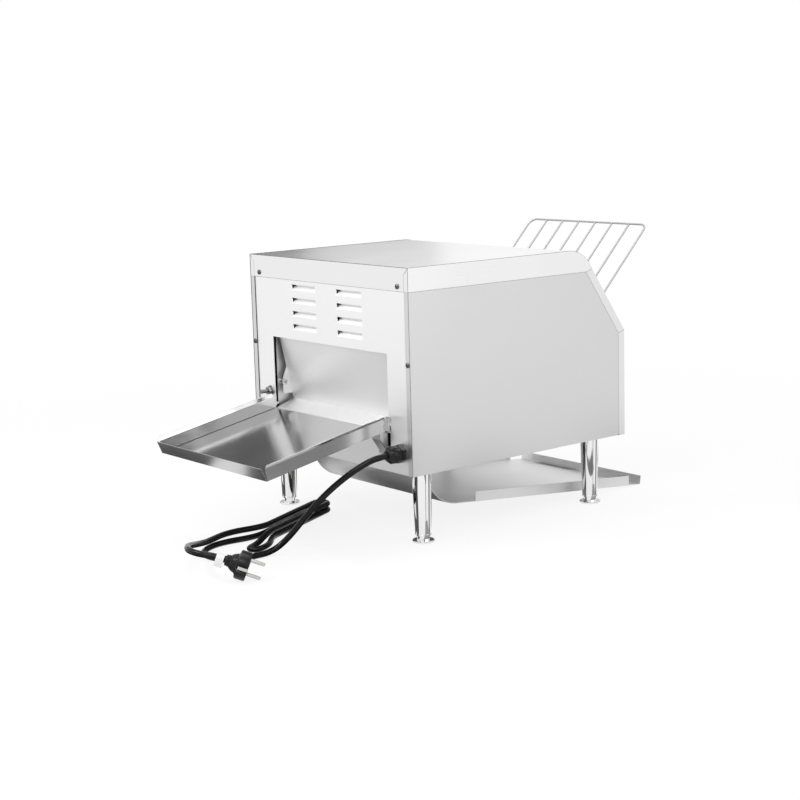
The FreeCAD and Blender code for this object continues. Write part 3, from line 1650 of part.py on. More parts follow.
def hank_walk():
    """The whole hank, from the lead's end to the tail's start."""
    bulb = hank_bulb_radius
    fold = hank_fold_radius
    entry = hank_entry_angle
    walk = CordWalk(*hank_beginning(), entry)
    walk.line(2 * cord_radius)
    walk.turn(bulb, math.pi - entry)
    sweep(walk, bulb - fold)
    strand = hank_bulb_place - sweep_length(bulb - fold)
    walk.line(strand - fold)
    walk.turn(fold, math.pi)
    walk.line(strand - fold)
    spread = 2 * hank_inner_fold_radius
    sweep(walk, -spread)
    reach = strand + sweep_length(spread)
    walk.line(hank_return_reach - reach)
    walk.turn(hank_inner_fold_radius, math.pi)
    walk.line(hank_return_reach - reach)
    walk.climb(hank_climb_length, hank_layer)
    walk.line(reach - hank_climb_length - fold)
    walk.turn(fold, -math.pi)
    walk.line(strand - hank_tail_lead - fold)
    sweep(walk, bulb - fold)
    walk.line(hank_tail_straight)
    return walk


def sample_route(edges, step):
    """Points along a route, with their distance from its start."""
    samples = []
    travelled = 0
    for edge in edges:
        count = max(2, int(edge.Length / step))
        points = edge.discretize(count + 1)
        start = points[0]
        if samples and (samples[-1][1] - start).Length > (samples[-1][1] - points[-1]).Length:
            points = points[::-1]
        for index, point in enumerate(points[:-1]):
            samples.append((travelled + edge.Length * index / count, point))
        travelled += edge.Length
    return samples


def least_self_gap(edges):
    """Least gap between turns of a wound cord, measured on sampled points."""
    samples = sample_route(edges, cord_radius)
    least = hank_bulb_place
    for index, (distance, point) in enumerate(samples):
        for other_distance, other in samples[index + 1:]:
            if other_distance - distance > cord_near_share * cord_radius:
                least = min(least, (other - point).Length)
    return least - 2 * cord_radius


def cord_radii(points):
    """Bend radius at each inner point of a cord's route."""
    radii = [0]
    for before, point, after in zip(points, points[1:], points[2:]):
        turn = (point - before).getAngle(after - point)
        shorter = min((point - before).Length, (after - point).Length)
        radii.append(cord_arc_share * shorter / math.tan(turn / 2))
    radii.append(0)
    return radii


def cord_tube(name, points):
    """Round cord along a route, checked against its section times its length."""
    radii = cord_radii(points)
    wire = Part.Wire(rounded_edges(points, radii, False))
    profile = Part.Wire(Part.makeCircle(cord_radius, points[0], points[1] - points[0]))
    tube = wire.makePipeShell([profile], True, False)
    runs = [round((b - a).Length, 1) for a, b in zip(points, points[1:])]
    share = tube.Volume / (math.pi * cord_radius ** 2 * wire.Length)
    print(name, "radii", [round(radius, 1) for radius in radii[1:-1]], "runs", runs,
          "length", round(wire.Length, 1), "volume share", round(share, 4))
    save(name, tube)


def plug_frame():
    """Face centre, axis towards the pins, and the downward way across the plug's face."""
    tip = math.atan((plug_radius - plug_pin_spacing / 2 - plug_pin_radius) / plug_pin_length)
    level = Vector(math.cos(plug_heading), math.sin(plug_heading), 0)
    axis = level * math.cos(tip) - Vector(0, 0, 1) * math.sin(tip)
    down = level * -math.sin(tip) - Vector(0, 0, 1) * math.cos(tip)
    face = Vector(plug_face[0], plug_face[1], plug_radius * math.cos(tip))
    return face, axis, down


def plug_and_tie():
    """Two-pin plug with side earth strips, lying on its rim and lower pin, and the cord's tie."""
    face, axis, down = plug_frame()
    side = axis.cross(down)
    front = plug_front_length
    outline = [
        (-plug_length, 0),
        (-plug_length, plug_nose_radius),
        (-plug_length + plug_sleeve_length, plug_nose_radius),
        (-front - (plug_length - front) / 3, plug_back_radius),
        (-front, plug_back_radius),
        (-front, plug_radius),
        (0, plug_radius),
        (0, 0),
    ]
    body = revolved(outline, face, axis, side)
    tools = []
    for way in (1, -1):
        edge = face + side * (way * plug_radius)
        corner = edge - down * (plug_strip_width / 2) - side * (way * plug_strip_depth)
        corners = [
            corner,
            corner + down * plug_strip_width,
            corner + down * plug_strip_width + side * (way * overrun),
            corner + side * (way * overrun),
            corner,
        ]
        tools.append(Part.Face(Part.makePolygon(corners)).extrude(axis * -(front + overrun)))
        tools[-1].translate(axis * (overrun / 2))
    earth = face + side * plug_earth_offset
    tools.append(rod(earth + axis * overrun, earth - axis * plug_earth_depth, plug_earth_radius))
    pins = []
    for way in (1, -1):
        centre = face + down * (way * plug_pin_spacing / 2)
        pin = rod(centre, centre + axis * plug_pin_length, plug_pin_radius)
        pins.append(fuse([pin, rod(centre - axis * plug_pin_depth, centre, plug_pin_root_radius)]))
    save("plug_body", cut(cut(body, tools), pins))
    save("plug_pins", *pins)
    entry = face - axis * plug_length
    middle = entry - axis * (tie_back_off + tie_width / 2)
    half = tie_width / 2
    inner = cord_radius + seat_gap
    shapes = []
    for grow in (tie_thickness, 0):
        wide = inner + grow
        tall = tie_height - 2 * inner + grow
        length = tie_width + (overrun * 2 if grow == 0 else 0)
        start = middle - axis * (length / 2)
        corners = [
            start - side * wide - down * wide,
            start + side * wide - down * wide,
            start + side * wide + down * tall,
            start - side * wide + down * tall,
        ]
        corners.append(corners[0])
        shapes.append(Part.Face(Part.makePolygon(corners)).extrude(axis * length))
    save("cord_tie", shapes[0].cut(shapes[1]))
    return entry, axis


def cord():
    """Lead from the gland, the doubled hank, and the tail into the plug."""
    walk = hank_walk()
    start = hank_point(*hank_beginning())
    wire = Part.Wire(walk.edges)
    first = walk.edges[0].Vertexes
    heading = first[1].Point - first[0].Point
    profile = Part.Wire(Part.makeCircle(cord_radius, start, heading))
    hank = wire.makePipeShell([profile], True, False)
    share = hank.Volume / (math.pi * cord_radius ** 2 * wire.Length)
    print("cord_hank length", round(wire.Length, 1), "least self-gap",
          round(least_self_gap(walk.edges), 2), "volume share", round(share, 4))
    save("cord_hank", hank)
    across = start.x - gland_x
    lead = []
    for share, behind, z in lead_points:
        lead.append(Vector(gland_x + share * across, back_y + behind, z))
    lead.append(start)
    cord_tube("cord_lead", lead)
    entry, axis = plug_and_tie()
    tail = [hank_point(*walk.place)]
    tail.extend(hank_point(*point) for point in tail_points)
    tail.append(entry - axis * (2 * tie_back_off + tie_width))
    tail.append(entry)
    cord_tube("cord_tail", tail)


def export_parts():
    """Centre the toaster over the origin and write one STEP file for each piece."""
    low = min(shape.BoundBox.YMin for name, shape in saved.items() if name not in cord_pieces)
    high = max(shape.BoundBox.YMax for name, shape in saved.items() if name not in cord_pieces)
    shift = Vector(0, -(low + high) / 2, 0)
    os.makedirs("parts", exist_ok=True)
    for name, shape in saved.items():
        shape.translate(shift)
        bad = [solid for solid in shape.Solids if not solid.isValid() or solid.Volume <= 0]
        print(name, "solids", len(shape.Solids), "invalid", len(bad), "volume", round(shape.Volume, 1))
        shape.exportStep("parts/" + name + ".step")
    print("shift", round(shift.y, 3), "pieces", len(saved))


cord_pieces = ("cord_lead", "cord_hank", "cord_tail", "cord_tie", "plug_body", "plug_pins")
casing_panels()
back_panel()
casing_screws()
bonding_stud()
base_plate()
legs_and_feet()
inner_plates()
reflectors_and_chute()
rear_deflector()
heating_elements()
conveyor_belt()
shafts_and_sprockets()
chain_drive()
gear_motor()
fan()
electrical_parts()
controls()
rear_tray()
tray_brackets()
front_tray()
loading_rack()
cable_gland()
cord()
export_parts()
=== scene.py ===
"""Conveyor toaster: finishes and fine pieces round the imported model, with its studio and camera.

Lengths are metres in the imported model's frame: +Z up, +Y towards the toaster's back. Shapes are
surfaces worked out with numpy; a shape is a function of two parameters on a grid.
"""

from __future__ import annotations

import logging
import math
from dataclasses import dataclass, field
from enum import Enum

import bpy
import numpy as np
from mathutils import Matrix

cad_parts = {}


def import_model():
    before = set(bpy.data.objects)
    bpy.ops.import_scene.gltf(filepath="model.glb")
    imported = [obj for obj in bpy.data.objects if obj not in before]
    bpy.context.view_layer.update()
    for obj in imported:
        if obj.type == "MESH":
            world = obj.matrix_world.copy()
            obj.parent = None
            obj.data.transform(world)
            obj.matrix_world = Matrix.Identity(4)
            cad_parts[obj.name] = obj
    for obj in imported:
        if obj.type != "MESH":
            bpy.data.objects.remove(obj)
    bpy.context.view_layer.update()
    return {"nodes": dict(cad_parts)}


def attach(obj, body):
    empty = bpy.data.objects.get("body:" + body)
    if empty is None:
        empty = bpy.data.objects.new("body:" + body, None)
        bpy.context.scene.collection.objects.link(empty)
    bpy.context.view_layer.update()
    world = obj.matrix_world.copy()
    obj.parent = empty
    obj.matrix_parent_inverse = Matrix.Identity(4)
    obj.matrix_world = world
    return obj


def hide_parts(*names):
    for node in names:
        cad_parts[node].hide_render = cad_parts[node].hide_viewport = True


LOG = logging.getLogger("toaster")
Points = np.ndarray
Shell = tuple[Points, list]
MM = 0.001
CAD_SHIFT_Y = -0.046145
ALONG = np.array([1.0, 0.0, 0.0])
BACK = np.array([0.0, 1.0, 0.0])
UP = np.array([0.0, 0.0, 1.0])
NEARLY_UP = np.array([0.0, 0.001, 1.0])


class Grain(Enum):
    """Axis along which a sheet was brushed or a wire was drawn."""

    ALONG_X = (1.0, 40.0, 40.0)
    ALONG_Y = (40.0, 1.0, 40.0)
    ALONG_Z = (40.0, 40.0, 1.0)
    EVEN = (1.0, 1.0, 1.0)


def spot(x: float, y: float, z: float) -> Points:
    """Point given in the casing's millimetres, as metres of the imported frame."""
    return np.array([x * MM, y * MM + CAD_SHIFT_Y, z * MM])


def unit(vector: Points) -> Points:
    """The vector scaled to length one."""
    return np.asarray(vector, float) / np.linalg.norm(vector)


def full_turn(columns: int) -> Points:
    """Angles of a ring's points, once round."""
    return np.linspace(0.0, 2.0 * math.pi, columns, endpoint=False)


class Shade:
    """A shader number that Python's operators work on; each adds a Math node."""

    def __init__(self, kit: "Kit", socket: bpy.types.NodeSocket) -> None:
        self.kit = kit
        self.socket = socket

    def _with(self, operation: str, other: "Shade | float") -> "Shade":
        """Result of a Math node that takes this value and another."""
        node = self.kit.node("ShaderNodeMath", {"operation": operation}, {0: self, 1: other})
        return Shade(self.kit, node.outputs[0])

    def __add__(self, other: "Shade | float") -> "Shade":
        """This value plus another."""
        return self._with("ADD", other)

    def __sub__(self, other: "Shade | float") -> "Shade":
        """This value minus another."""
        return self._with("SUBTRACT", other)

    def __mul__(self, other: "Shade | float") -> "Shade":
        """This value times another."""
        return self._with("MULTIPLY", other)

    def between(self, low: float, high: float) -> "Shade":
        """Smooth rise from zero at low to one at high.

        Args:
            low: value that gives zero.
            high: value that gives one.

        Returns:
            The eased value.
        """
        node = self.kit.node(
            "ShaderNodeMapRange", {"interpolation_type": "SMOOTHSTEP"},
            {"Value": self, "From Min": low, "From Max": high},
        )
        return Shade(self.kit, node.outputs["Result"])


class Kit:
    """Node tree of one material or of the world, with one method that adds any node."""

    def __init__(self, name: str, world: bool = False) -> None:
        """Makes an empty material, or an empty world, of that name."""
        makers = bpy.data.worlds if world else bpy.data.materials
        self.output = "ShaderNodeOutputWorld" if world else "ShaderNodeOutputMaterial"
        self.material = makers.new(name)
        self.material.use_nodes = True
        self.tree = self.material.node_tree
        self.tree.nodes.clear()

    def node(self, kind: str, settings: dict | None = None,
             inputs: dict | None = None) -> bpy.types.Node:
        """Adds a node.

        Args:
            kind: the node's type.
            settings: properties to set first.
            inputs: values, sockets or shades by socket name or number.

        Returns:
            The new node.
        """
        made = self.tree.nodes.new(kind)
        for key, value in (settings or {}).items():
            setattr(made, key, value)
        for key, value in (inputs or {}).items():
            source = value.socket if isinstance(value, Shade) else value
            if isinstance(source, bpy.types.NodeSocket):
                self.tree.links.new(source, made.inputs[key])
            else:
                made.inputs[key].default_value = source
        return made

    def coords(self, scale: tuple[float, float, float] = (1.0, 1.0, 1.0)) -> bpy.types.NodeSocket:
        """Object coordinates, stretched by a scale."""
        place = self.node("ShaderNodeTexCoord").outputs["Object"]
        mapping = self.node("ShaderNodeMapping", None, {"Vector": place, "Scale": scale})
        return mapping.outputs["Vector"]

    def noise(self, vector: bpy.types.NodeSocket, scale: float, detail: float = 3.0,
              rough: float = 0.55) -> Shade:
        """Fractal noise.

        Args:
            vector: coordinates.
            scale: noise cells per metre.
            detail: octaves.
            rough: share that each octave keeps.

        Returns:
            A value about one half.
        """
        made = self.node("ShaderNodeTexNoise", None,
                         {"Vector": vector, "Scale": scale, "Detail": detail, "Roughness": rough})
        return Shade(self, made.outputs["Fac"])

    def mix(self, share: Shade | float, first: tuple, second: tuple) -> bpy.types.NodeSocket:
        """Colour between two colours."""
        made = self.node("ShaderNodeMix", {"data_type": "RGBA"}, {0: share})
        made.inputs[6].default_value = (*first, 1.0)
        made.inputs[7].default_value = (*second, 1.0)
        return made.outputs[2]

    def bump(self, height: Shade, strength: float, distance: float) -> bpy.types.NodeSocket:
        """Normal bumped by a height."""
        made = self.node("ShaderNodeBump", None,
                         {"Height": height, "Strength": strength, "Distance": distance})
        return made.outputs["Normal"]

    def plain_sight(self) -> Shade:
        """One for what the camera sees, directly, by gloss or through glass, else zero."""
        path = self.node("ShaderNodeLightPath").outputs
        seen = Shade(self, path["Is Camera Ray"]) + Shade(self, path["Is Glossy Ray"])
        return seen + Shade(self, path["Is Transmission Ray"])

    def glow(self, tone: float) -> bpy.types.NodeSocket:
        """Shader that shines in one grey."""
        return self.node("ShaderNodeEmission", None, {"Color": (tone, tone, tone, 1.0)}).outputs[0]

    def end(self, shader: bpy.types.NodeSocket) -> bpy.types.Material:
        """Ends the material in a shader."""
        self.node(self.output, None, {"Surface": shader})
        return self.material

    def surface(self, inputs: dict) -> bpy.types.Material:
        """Ends the material in one Principled shader."""
        return self.end(self.node("ShaderNodeBsdfPrincipled", None, inputs).outputs["BSDF"])


@dataclass(frozen=True)
class Steel:
    """Metal sheet, bar or wire, with grain, soft tone clouds and faint marks."""

    name: str
    tone: float = 0.8
    warmth: float = 0.0
    rough: float = 0.3
    rough_spread: float = 0.1
    grain: Grain = Grain.ALONG_X
    grain_cells: float = 26.0
    grain_depth: float = 0.00002
    cloud: float = 0.05
    dents: float = 0.0
    swing: float = 0.09
    relief: float = 0.35

    def make(self) -> bpy.types.Material:
        """Builds the metal: grain is noise stretched along one axis, clouds are wide noise."""
        kit = Kit(self.name)
        place = kit.coords()
        lines = kit.noise(kit.coords(self.grain.value), self.grain_cells, 4.0, 0.7)
        cloud = kit.noise(place, 9.0, 2.0)
        marks = kit.noise(place, 55.0, 5.0, 0.7).between(0.58, 0.74)
        tone = (lines - 0.5) * 0.1 + (cloud - 0.5) * self.cloud * 2.0 + 0.5
        dark = self.tone - self.swing
        light = min(1.0, self.tone + self.swing)
        colour = kit.mix(tone, (dark + self.warmth, dark, dark - self.warmth),
                         (light, light - self.warmth / 2, light - self.warmth))
        rough = (lines - 0.5) * self.rough_spread + (cloud - 0.5) * self.rough_spread
        rough = rough + marks * (self.rough_spread * 0.4) + self.rough
        return kit.surface({
            "Base Color": colour,
            "Metallic": 1.0,
            "Roughness": rough,
            "Normal": kit.bump(lines + cloud * self.dents, self.relief, self.grain_depth),
        })


@dataclass(frozen=True)
class Moulded:
    """Plastic, rubber, ceramic or paint: fine moulded texture with dust in its roughness."""

    name: str
    colour: tuple[float, float, float]
    second: tuple[float, float, float]
    rough: float = 0.4
    rough_spread: float = 0.12
    cells: float = 1500.0
    depth: float = 0.00004
    relief: float = 0.3
    coat: float = 0.0
    coat_rough: float = 0.06
    specular: float = 0.5

    def make(self) -> bpy.types.Material:
        """Builds the plastic: fine noise bumps the surface, wide noise varies its gloss."""
        kit = Kit(self.name)
        place = kit.coords()
        fine = kit.noise(place, self.cells, 2.0)
        wide = kit.noise(place, 40.0, 4.0, 0.6)
        return kit.surface({
            "Base Color": kit.mix(wide.between(0.3, 0.75), self.colour, self.second),
            "Roughness": (wide - 0.5) * (2.0 * self.rough_spread) + self.rough,
            "Specular IOR Level": self.specular,
            "Coat Weight": self.coat,
            "Coat Roughness": self.coat_rough,
            "Normal": kit.bump(fine, self.relief, self.depth),
        })


@dataclass(frozen=True)
class Quartz:
    """Frosted quartz tube with fine bubbles along its length."""

    name: str

    def make(self) -> bpy.types.Material:
        """Builds the quartz: milky and partly clear, with drawn bubbles."""
        kit = Kit(self.name)
        streaks = kit.noise(kit.coords((4.0, 90.0, 90.0)), 12.0, 4.0, 0.7)
        return kit.surface({
            "Base Color": kit.mix(streaks, (0.66, 0.64, 0.6), (0.93, 0.92, 0.9)),
            "Roughness": streaks * 0.2 + 0.16,
            "Alpha": streaks * 0.3 + 0.45,
            "Normal": kit.bump(streaks, 0.3, 0.0001),
        })


@dataclass(frozen=True)
class CircuitBoard:
    """Green lacquered board with copper tracks under the lacquer."""

    name: str

    def make(self) -> bpy.types.Material:
        """Builds the board: tracks are the edges of square cells."""
        kit = Kit(self.name)
        cells = kit.node("ShaderNodeTexVoronoi", {"distance": "MANHATTAN", "feature": "F1"},
                         {"Vector": kit.coords(), "Scale": 120.0})
        tracks = Shade(kit, cells.outputs["Distance"]).between(0.42, 0.5)
        return kit.surface({
            "Base Color": kit.mix(tracks, (0.02, 0.16, 0.07), (0.07, 0.3, 0.13)),
            "Roughness": tracks * 0.15 + 0.3,
            "Normal": kit.bump(tracks, 0.3, 0.0001),
        })


def linked(name: str, data: bpy.types.ID) -> bpy.types.Object:
    """New object of some data, linked into the scene."""
    made = bpy.data.objects.new(name, data)
    bpy.context.scene.collection.objects.link(made)
    return made


def dress(piece: bpy.types.Object, material: bpy.types.Material) -> None:
    """Gives a CAD node one material."""
    if piece.material_slots:
        for place in piece.material_slots:
            place.link = "OBJECT"
            place.material = material
    else:
        piece.data.materials.append(material)


def mesh_piece(name: str, parts: list[Shell], body: str,
               material: bpy.types.Material, sharp: float = 40.0) -> bpy.types.Object:
    """Makes one piece of several shells, and lets it ride on a body.

    Args:
        name: the piece's name.
        parts: vertices and faces of each shell.
        body: body that it moves with.
        material: its finish.
        sharp: edges that fold by more degrees stay crisp.

    Returns:
        The new object.
    """
    starts = np.cumsum([0] + [len(vertices) for vertices, _ in parts]).tolist()
    faces = [[vertex + start for vertex in face]
             for start, (_, rows) in zip(starts, parts) for face in rows]
    mesh = bpy.data.meshes.new(name)
    mesh.from_pydata(np.concatenate([vertices for vertices, _ in parts]).tolist(), [], faces)
    mesh.validate()
    mesh.shade_smooth()
    mesh.set_sharp_from_angle(angle=math.radians(sharp))
    mesh.materials.append(material)
    piece = linked(name, mesh)
    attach(piece, body)
    LOG.info("%s: %d points on %s", name, len(mesh.vertices), body)
    return piece


def grid_faces(rows: int, columns: int) -> Points:
    """Quads of a grid whose columns close on themselves, as four vertex numbers a row."""
    row, column = np.meshgrid(np.arange(rows - 1), np.arange(columns), indexing="ij")
    after = (column + 1) % columns
    quads = np.stack([row * columns + column, row * columns + after,
                      (row + 1) * columns + after, (row + 1) * columns + column], -1)
    return quads.reshape(-1, 4)


def shell_faces(rows: int, columns: int) -> list:
    """Faces of a closed shell: the grid's quads, and a cap over the first and last ring."""
    last = (rows - 1) * columns
    caps = [list(range(columns))[::-1], list(range(last, last + columns))]
    return grid_faces(rows, columns).tolist() + caps


def lathe(profile: Points, origin: Points, axis: Points, side: Points, columns: int = 48,
          ripple: Points | None = None) -> Shell:
    """Surface of a profile turned round an axis: point = origin + along axis + radius outward.

    Args:
        profile: rows of (along, radius) in millimetres.
        origin: start of the axis.
        axis: unit vector along it.
        side: unit vector at right angles to it.
        columns: points in a ring.
        ripple: array rows by columns that multiplies the radius, for flutes or flats.

    Returns:
        Vertices and faces of a closed shell.
    """
    turn = full_turn(columns)
    outward = np.cos(turn)[:, None] * side + np.sin(turn)[:, None] * np.cross(axis, side)
    along = profile[:, :1, None] * MM * axis
    radius = profile[:, 1:] * MM * (np.ones(columns) if ripple is None else ripple)
    rings = origin + along + radius[..., None] * outward
    return rings.reshape(-1, 3), shell_faces(len(profile), columns)


def tube(path: Points, radius: float, columns: int = 8) -> Shell:
    """Round tube along a path: each ring lies in the plane across the path there.

    Args:
        path: N by 3 points.
        radius: tube radius in millimetres.
        columns: points in a ring.

    Returns:
        Vertices and faces of a closed tube.
    """
    ways = np.gradient(path, axis=0)
    ways /= np.linalg.norm(ways, axis=1)[:, None]
    steep = abs(ways[:, 2]).max() >= 0.9
    side = np.cross(ways, np.array([0.31, 0.95, 0.05]) if steep else UP)
    side /= np.linalg.norm(side, axis=1)[:, None]
    up = np.cross(side, ways)
    turn = full_turn(columns)[None, :, None]
    outward = np.cos(turn) * side[:, None] - np.sin(turn) * up[:, None]
    rings = path[:, None] + radius * MM * outward
    return rings.reshape(-1, 3), shell_faces(len(path), columns)


class Finishes:
    """Every finish of the toaster, made once."""

    def __init__(self) -> None:
        """Makes the materials, group by group."""
        self.sheets()
        self.metals()
        self.plastics()

    def sheets(self) -> None:
        """Sheet steels of the casing, its inner plates and both trays."""
        # The lid, sides, front band and back are one steel. Their different tones are painted light
        # and shade: the sides are darkest, the back and lid lightest.
        self.lid = Steel("lid_steel", 0.84, rough=0.3, grain=Grain.ALONG_Y, cloud=0.03).make()
        self.side = Steel("side_steel", 0.66, rough=0.36, grain=Grain.ALONG_Y, cloud=0.04).make()
        self.band = Steel("front_band_steel", 0.77, rough=0.34, grain=Grain.ALONG_Z).make()
        self.back = Steel("back_steel", 0.88, rough=0.38, grain=Grain.ALONG_X, cloud=0.03).make()
        self.inner = Steel("inner_steel", 0.72, rough=0.5, grain=Grain.ALONG_Y, cloud=0.1).make()
        self.deflector = Steel("deflector_steel", 0.8, rough=0.46, grain=Grain.ALONG_Z).make()
        self.tray = Steel("tray_steel", 0.62, rough=0.17, rough_spread=0.14, grain=Grain.ALONG_Y,
                          dents=2.0, cloud=0.12).make()
        self.low_tray = Steel("low_tray_steel", 0.7, rough=0.42, grain=Grain.ALONG_Y).make()
        self.bracket = Steel("bracket_steel", 0.42, rough=0.3, grain=Grain.ALONG_Z).make()
        self.hot = Steel("heat_tinted_steel", 0.62, 0.05, rough=0.3, cloud=0.3,
                         grain=Grain.ALONG_X).make()

    def metals(self) -> None:
        """Chrome, wire, plated and dark metals, and the near-black seam_shadow, which is painted
        shade for joints and folds.
        """
        self.chrome = Steel("polished_legs", 0.84, rough=0.06, rough_spread=0.05,
                            grain=Grain.ALONG_Z, cloud=0.02).make()
        self.wire = Steel("drawn_wire", 0.42, rough=0.5, grain=Grain.EVEN, grain_cells=160.0,
                          grain_depth=0.00001).make()
        self.zinc = Steel("zinc_plate", 0.5, 0.01, rough=0.32, cloud=0.16).make()
        self.stud = Steel("stud_steel", 0.24, rough=0.35, cloud=0.2, grain=Grain.ALONG_Z).make()
        self.screw = Steel("screw_steel", 0.12, rough=0.34, grain=Grain.EVEN).make()
        # seam_shadow is painted shade: a near-black matte steel for the dark lines in joints and
        # folds.
        self.seam = Steel("seam_shadow", 0.1, rough=0.6, grain=Grain.EVEN).make()
        self.pin = Steel("pin_nickel", 0.55, 0.012, rough=0.22, cloud=0.1, grain=Grain.EVEN).make()
        self.filament = Steel("filament_wire", 0.4, 0.03, rough=0.35).make()

    def plastics(self) -> None:
        """Plastics, ceramics, quartz, lacquer and paint."""
        self.quartz = Quartz("frosted_quartz").make()
        self.board = CircuitBoard("lacquered_board").make()
        self.ceramic = Moulded("glazed_ceramic", (0.78, 0.75, 0.68), (0.88, 0.86, 0.8), 0.5).make()
        self.gloss = Moulded("black_gloss_plastic", (0.006, 0.006, 0.006), (0.011, 0.011, 0.012),
                             0.22, 0.08, specular=0.22).make()
        self.matte = Moulded("black_matte_plastic", (0.016, 0.016, 0.017), (0.03, 0.03, 0.031),
                             0.5, specular=0.35).make()
        self.white = Moulded("white_plastic", (0.72, 0.72, 0.7), (0.85, 0.85, 0.83), 0.45).make()
        self.sheath = Moulded("cord_sheath", (0.003, 0.003, 0.003), (0.006, 0.006, 0.006),
                              0.2, 0.08, 900.0, specular=0.2).make()
        self.motor = Moulded("motor_paint", (0.16, 0.17, 0.18), (0.24, 0.25, 0.26), 0.45).make()
        self.lens = Moulded("red_lens", (0.42, 0.015, 0.01), (0.6, 0.03, 0.02), 0.15, 0.05,
                            coat=0.6).make()
        self.ink = Moulded("printed_ink", (0.02, 0.02, 0.02), (0.05, 0.05, 0.05), 0.6).make()


def facing(centre: tuple, aim: tuple) -> tuple[Points, Points, Points]:
    """Rightward, upward and forward unit vectors of a card that faces a spot."""
    way = unit(np.array(aim) - np.array(centre))
    right = unit(np.cross(way, NEARLY_UP))
    return right, np.cross(right, way), way


def stand(made: bpy.types.Object, right: Points, up: Points, back: Points, place: Points) -> None:
    """Turns an object by its three axes and puts it at a place."""
    matrix = np.eye(4)
    matrix[:3] = np.stack([right, up, back, place], 1)
    made.matrix_world = matrix.T.tolist()


def flat_mesh(name: str, corners: list[Points], material: bpy.types.Material) -> bpy.types.Object:
    """Object of one flat face."""
    mesh = bpy.data.meshes.new(name)
    mesh.from_pydata(np.asarray(corners, float).tolist(), [], [list(range(len(corners)))])
    mesh.materials.append(material)
    return linked(name, mesh)


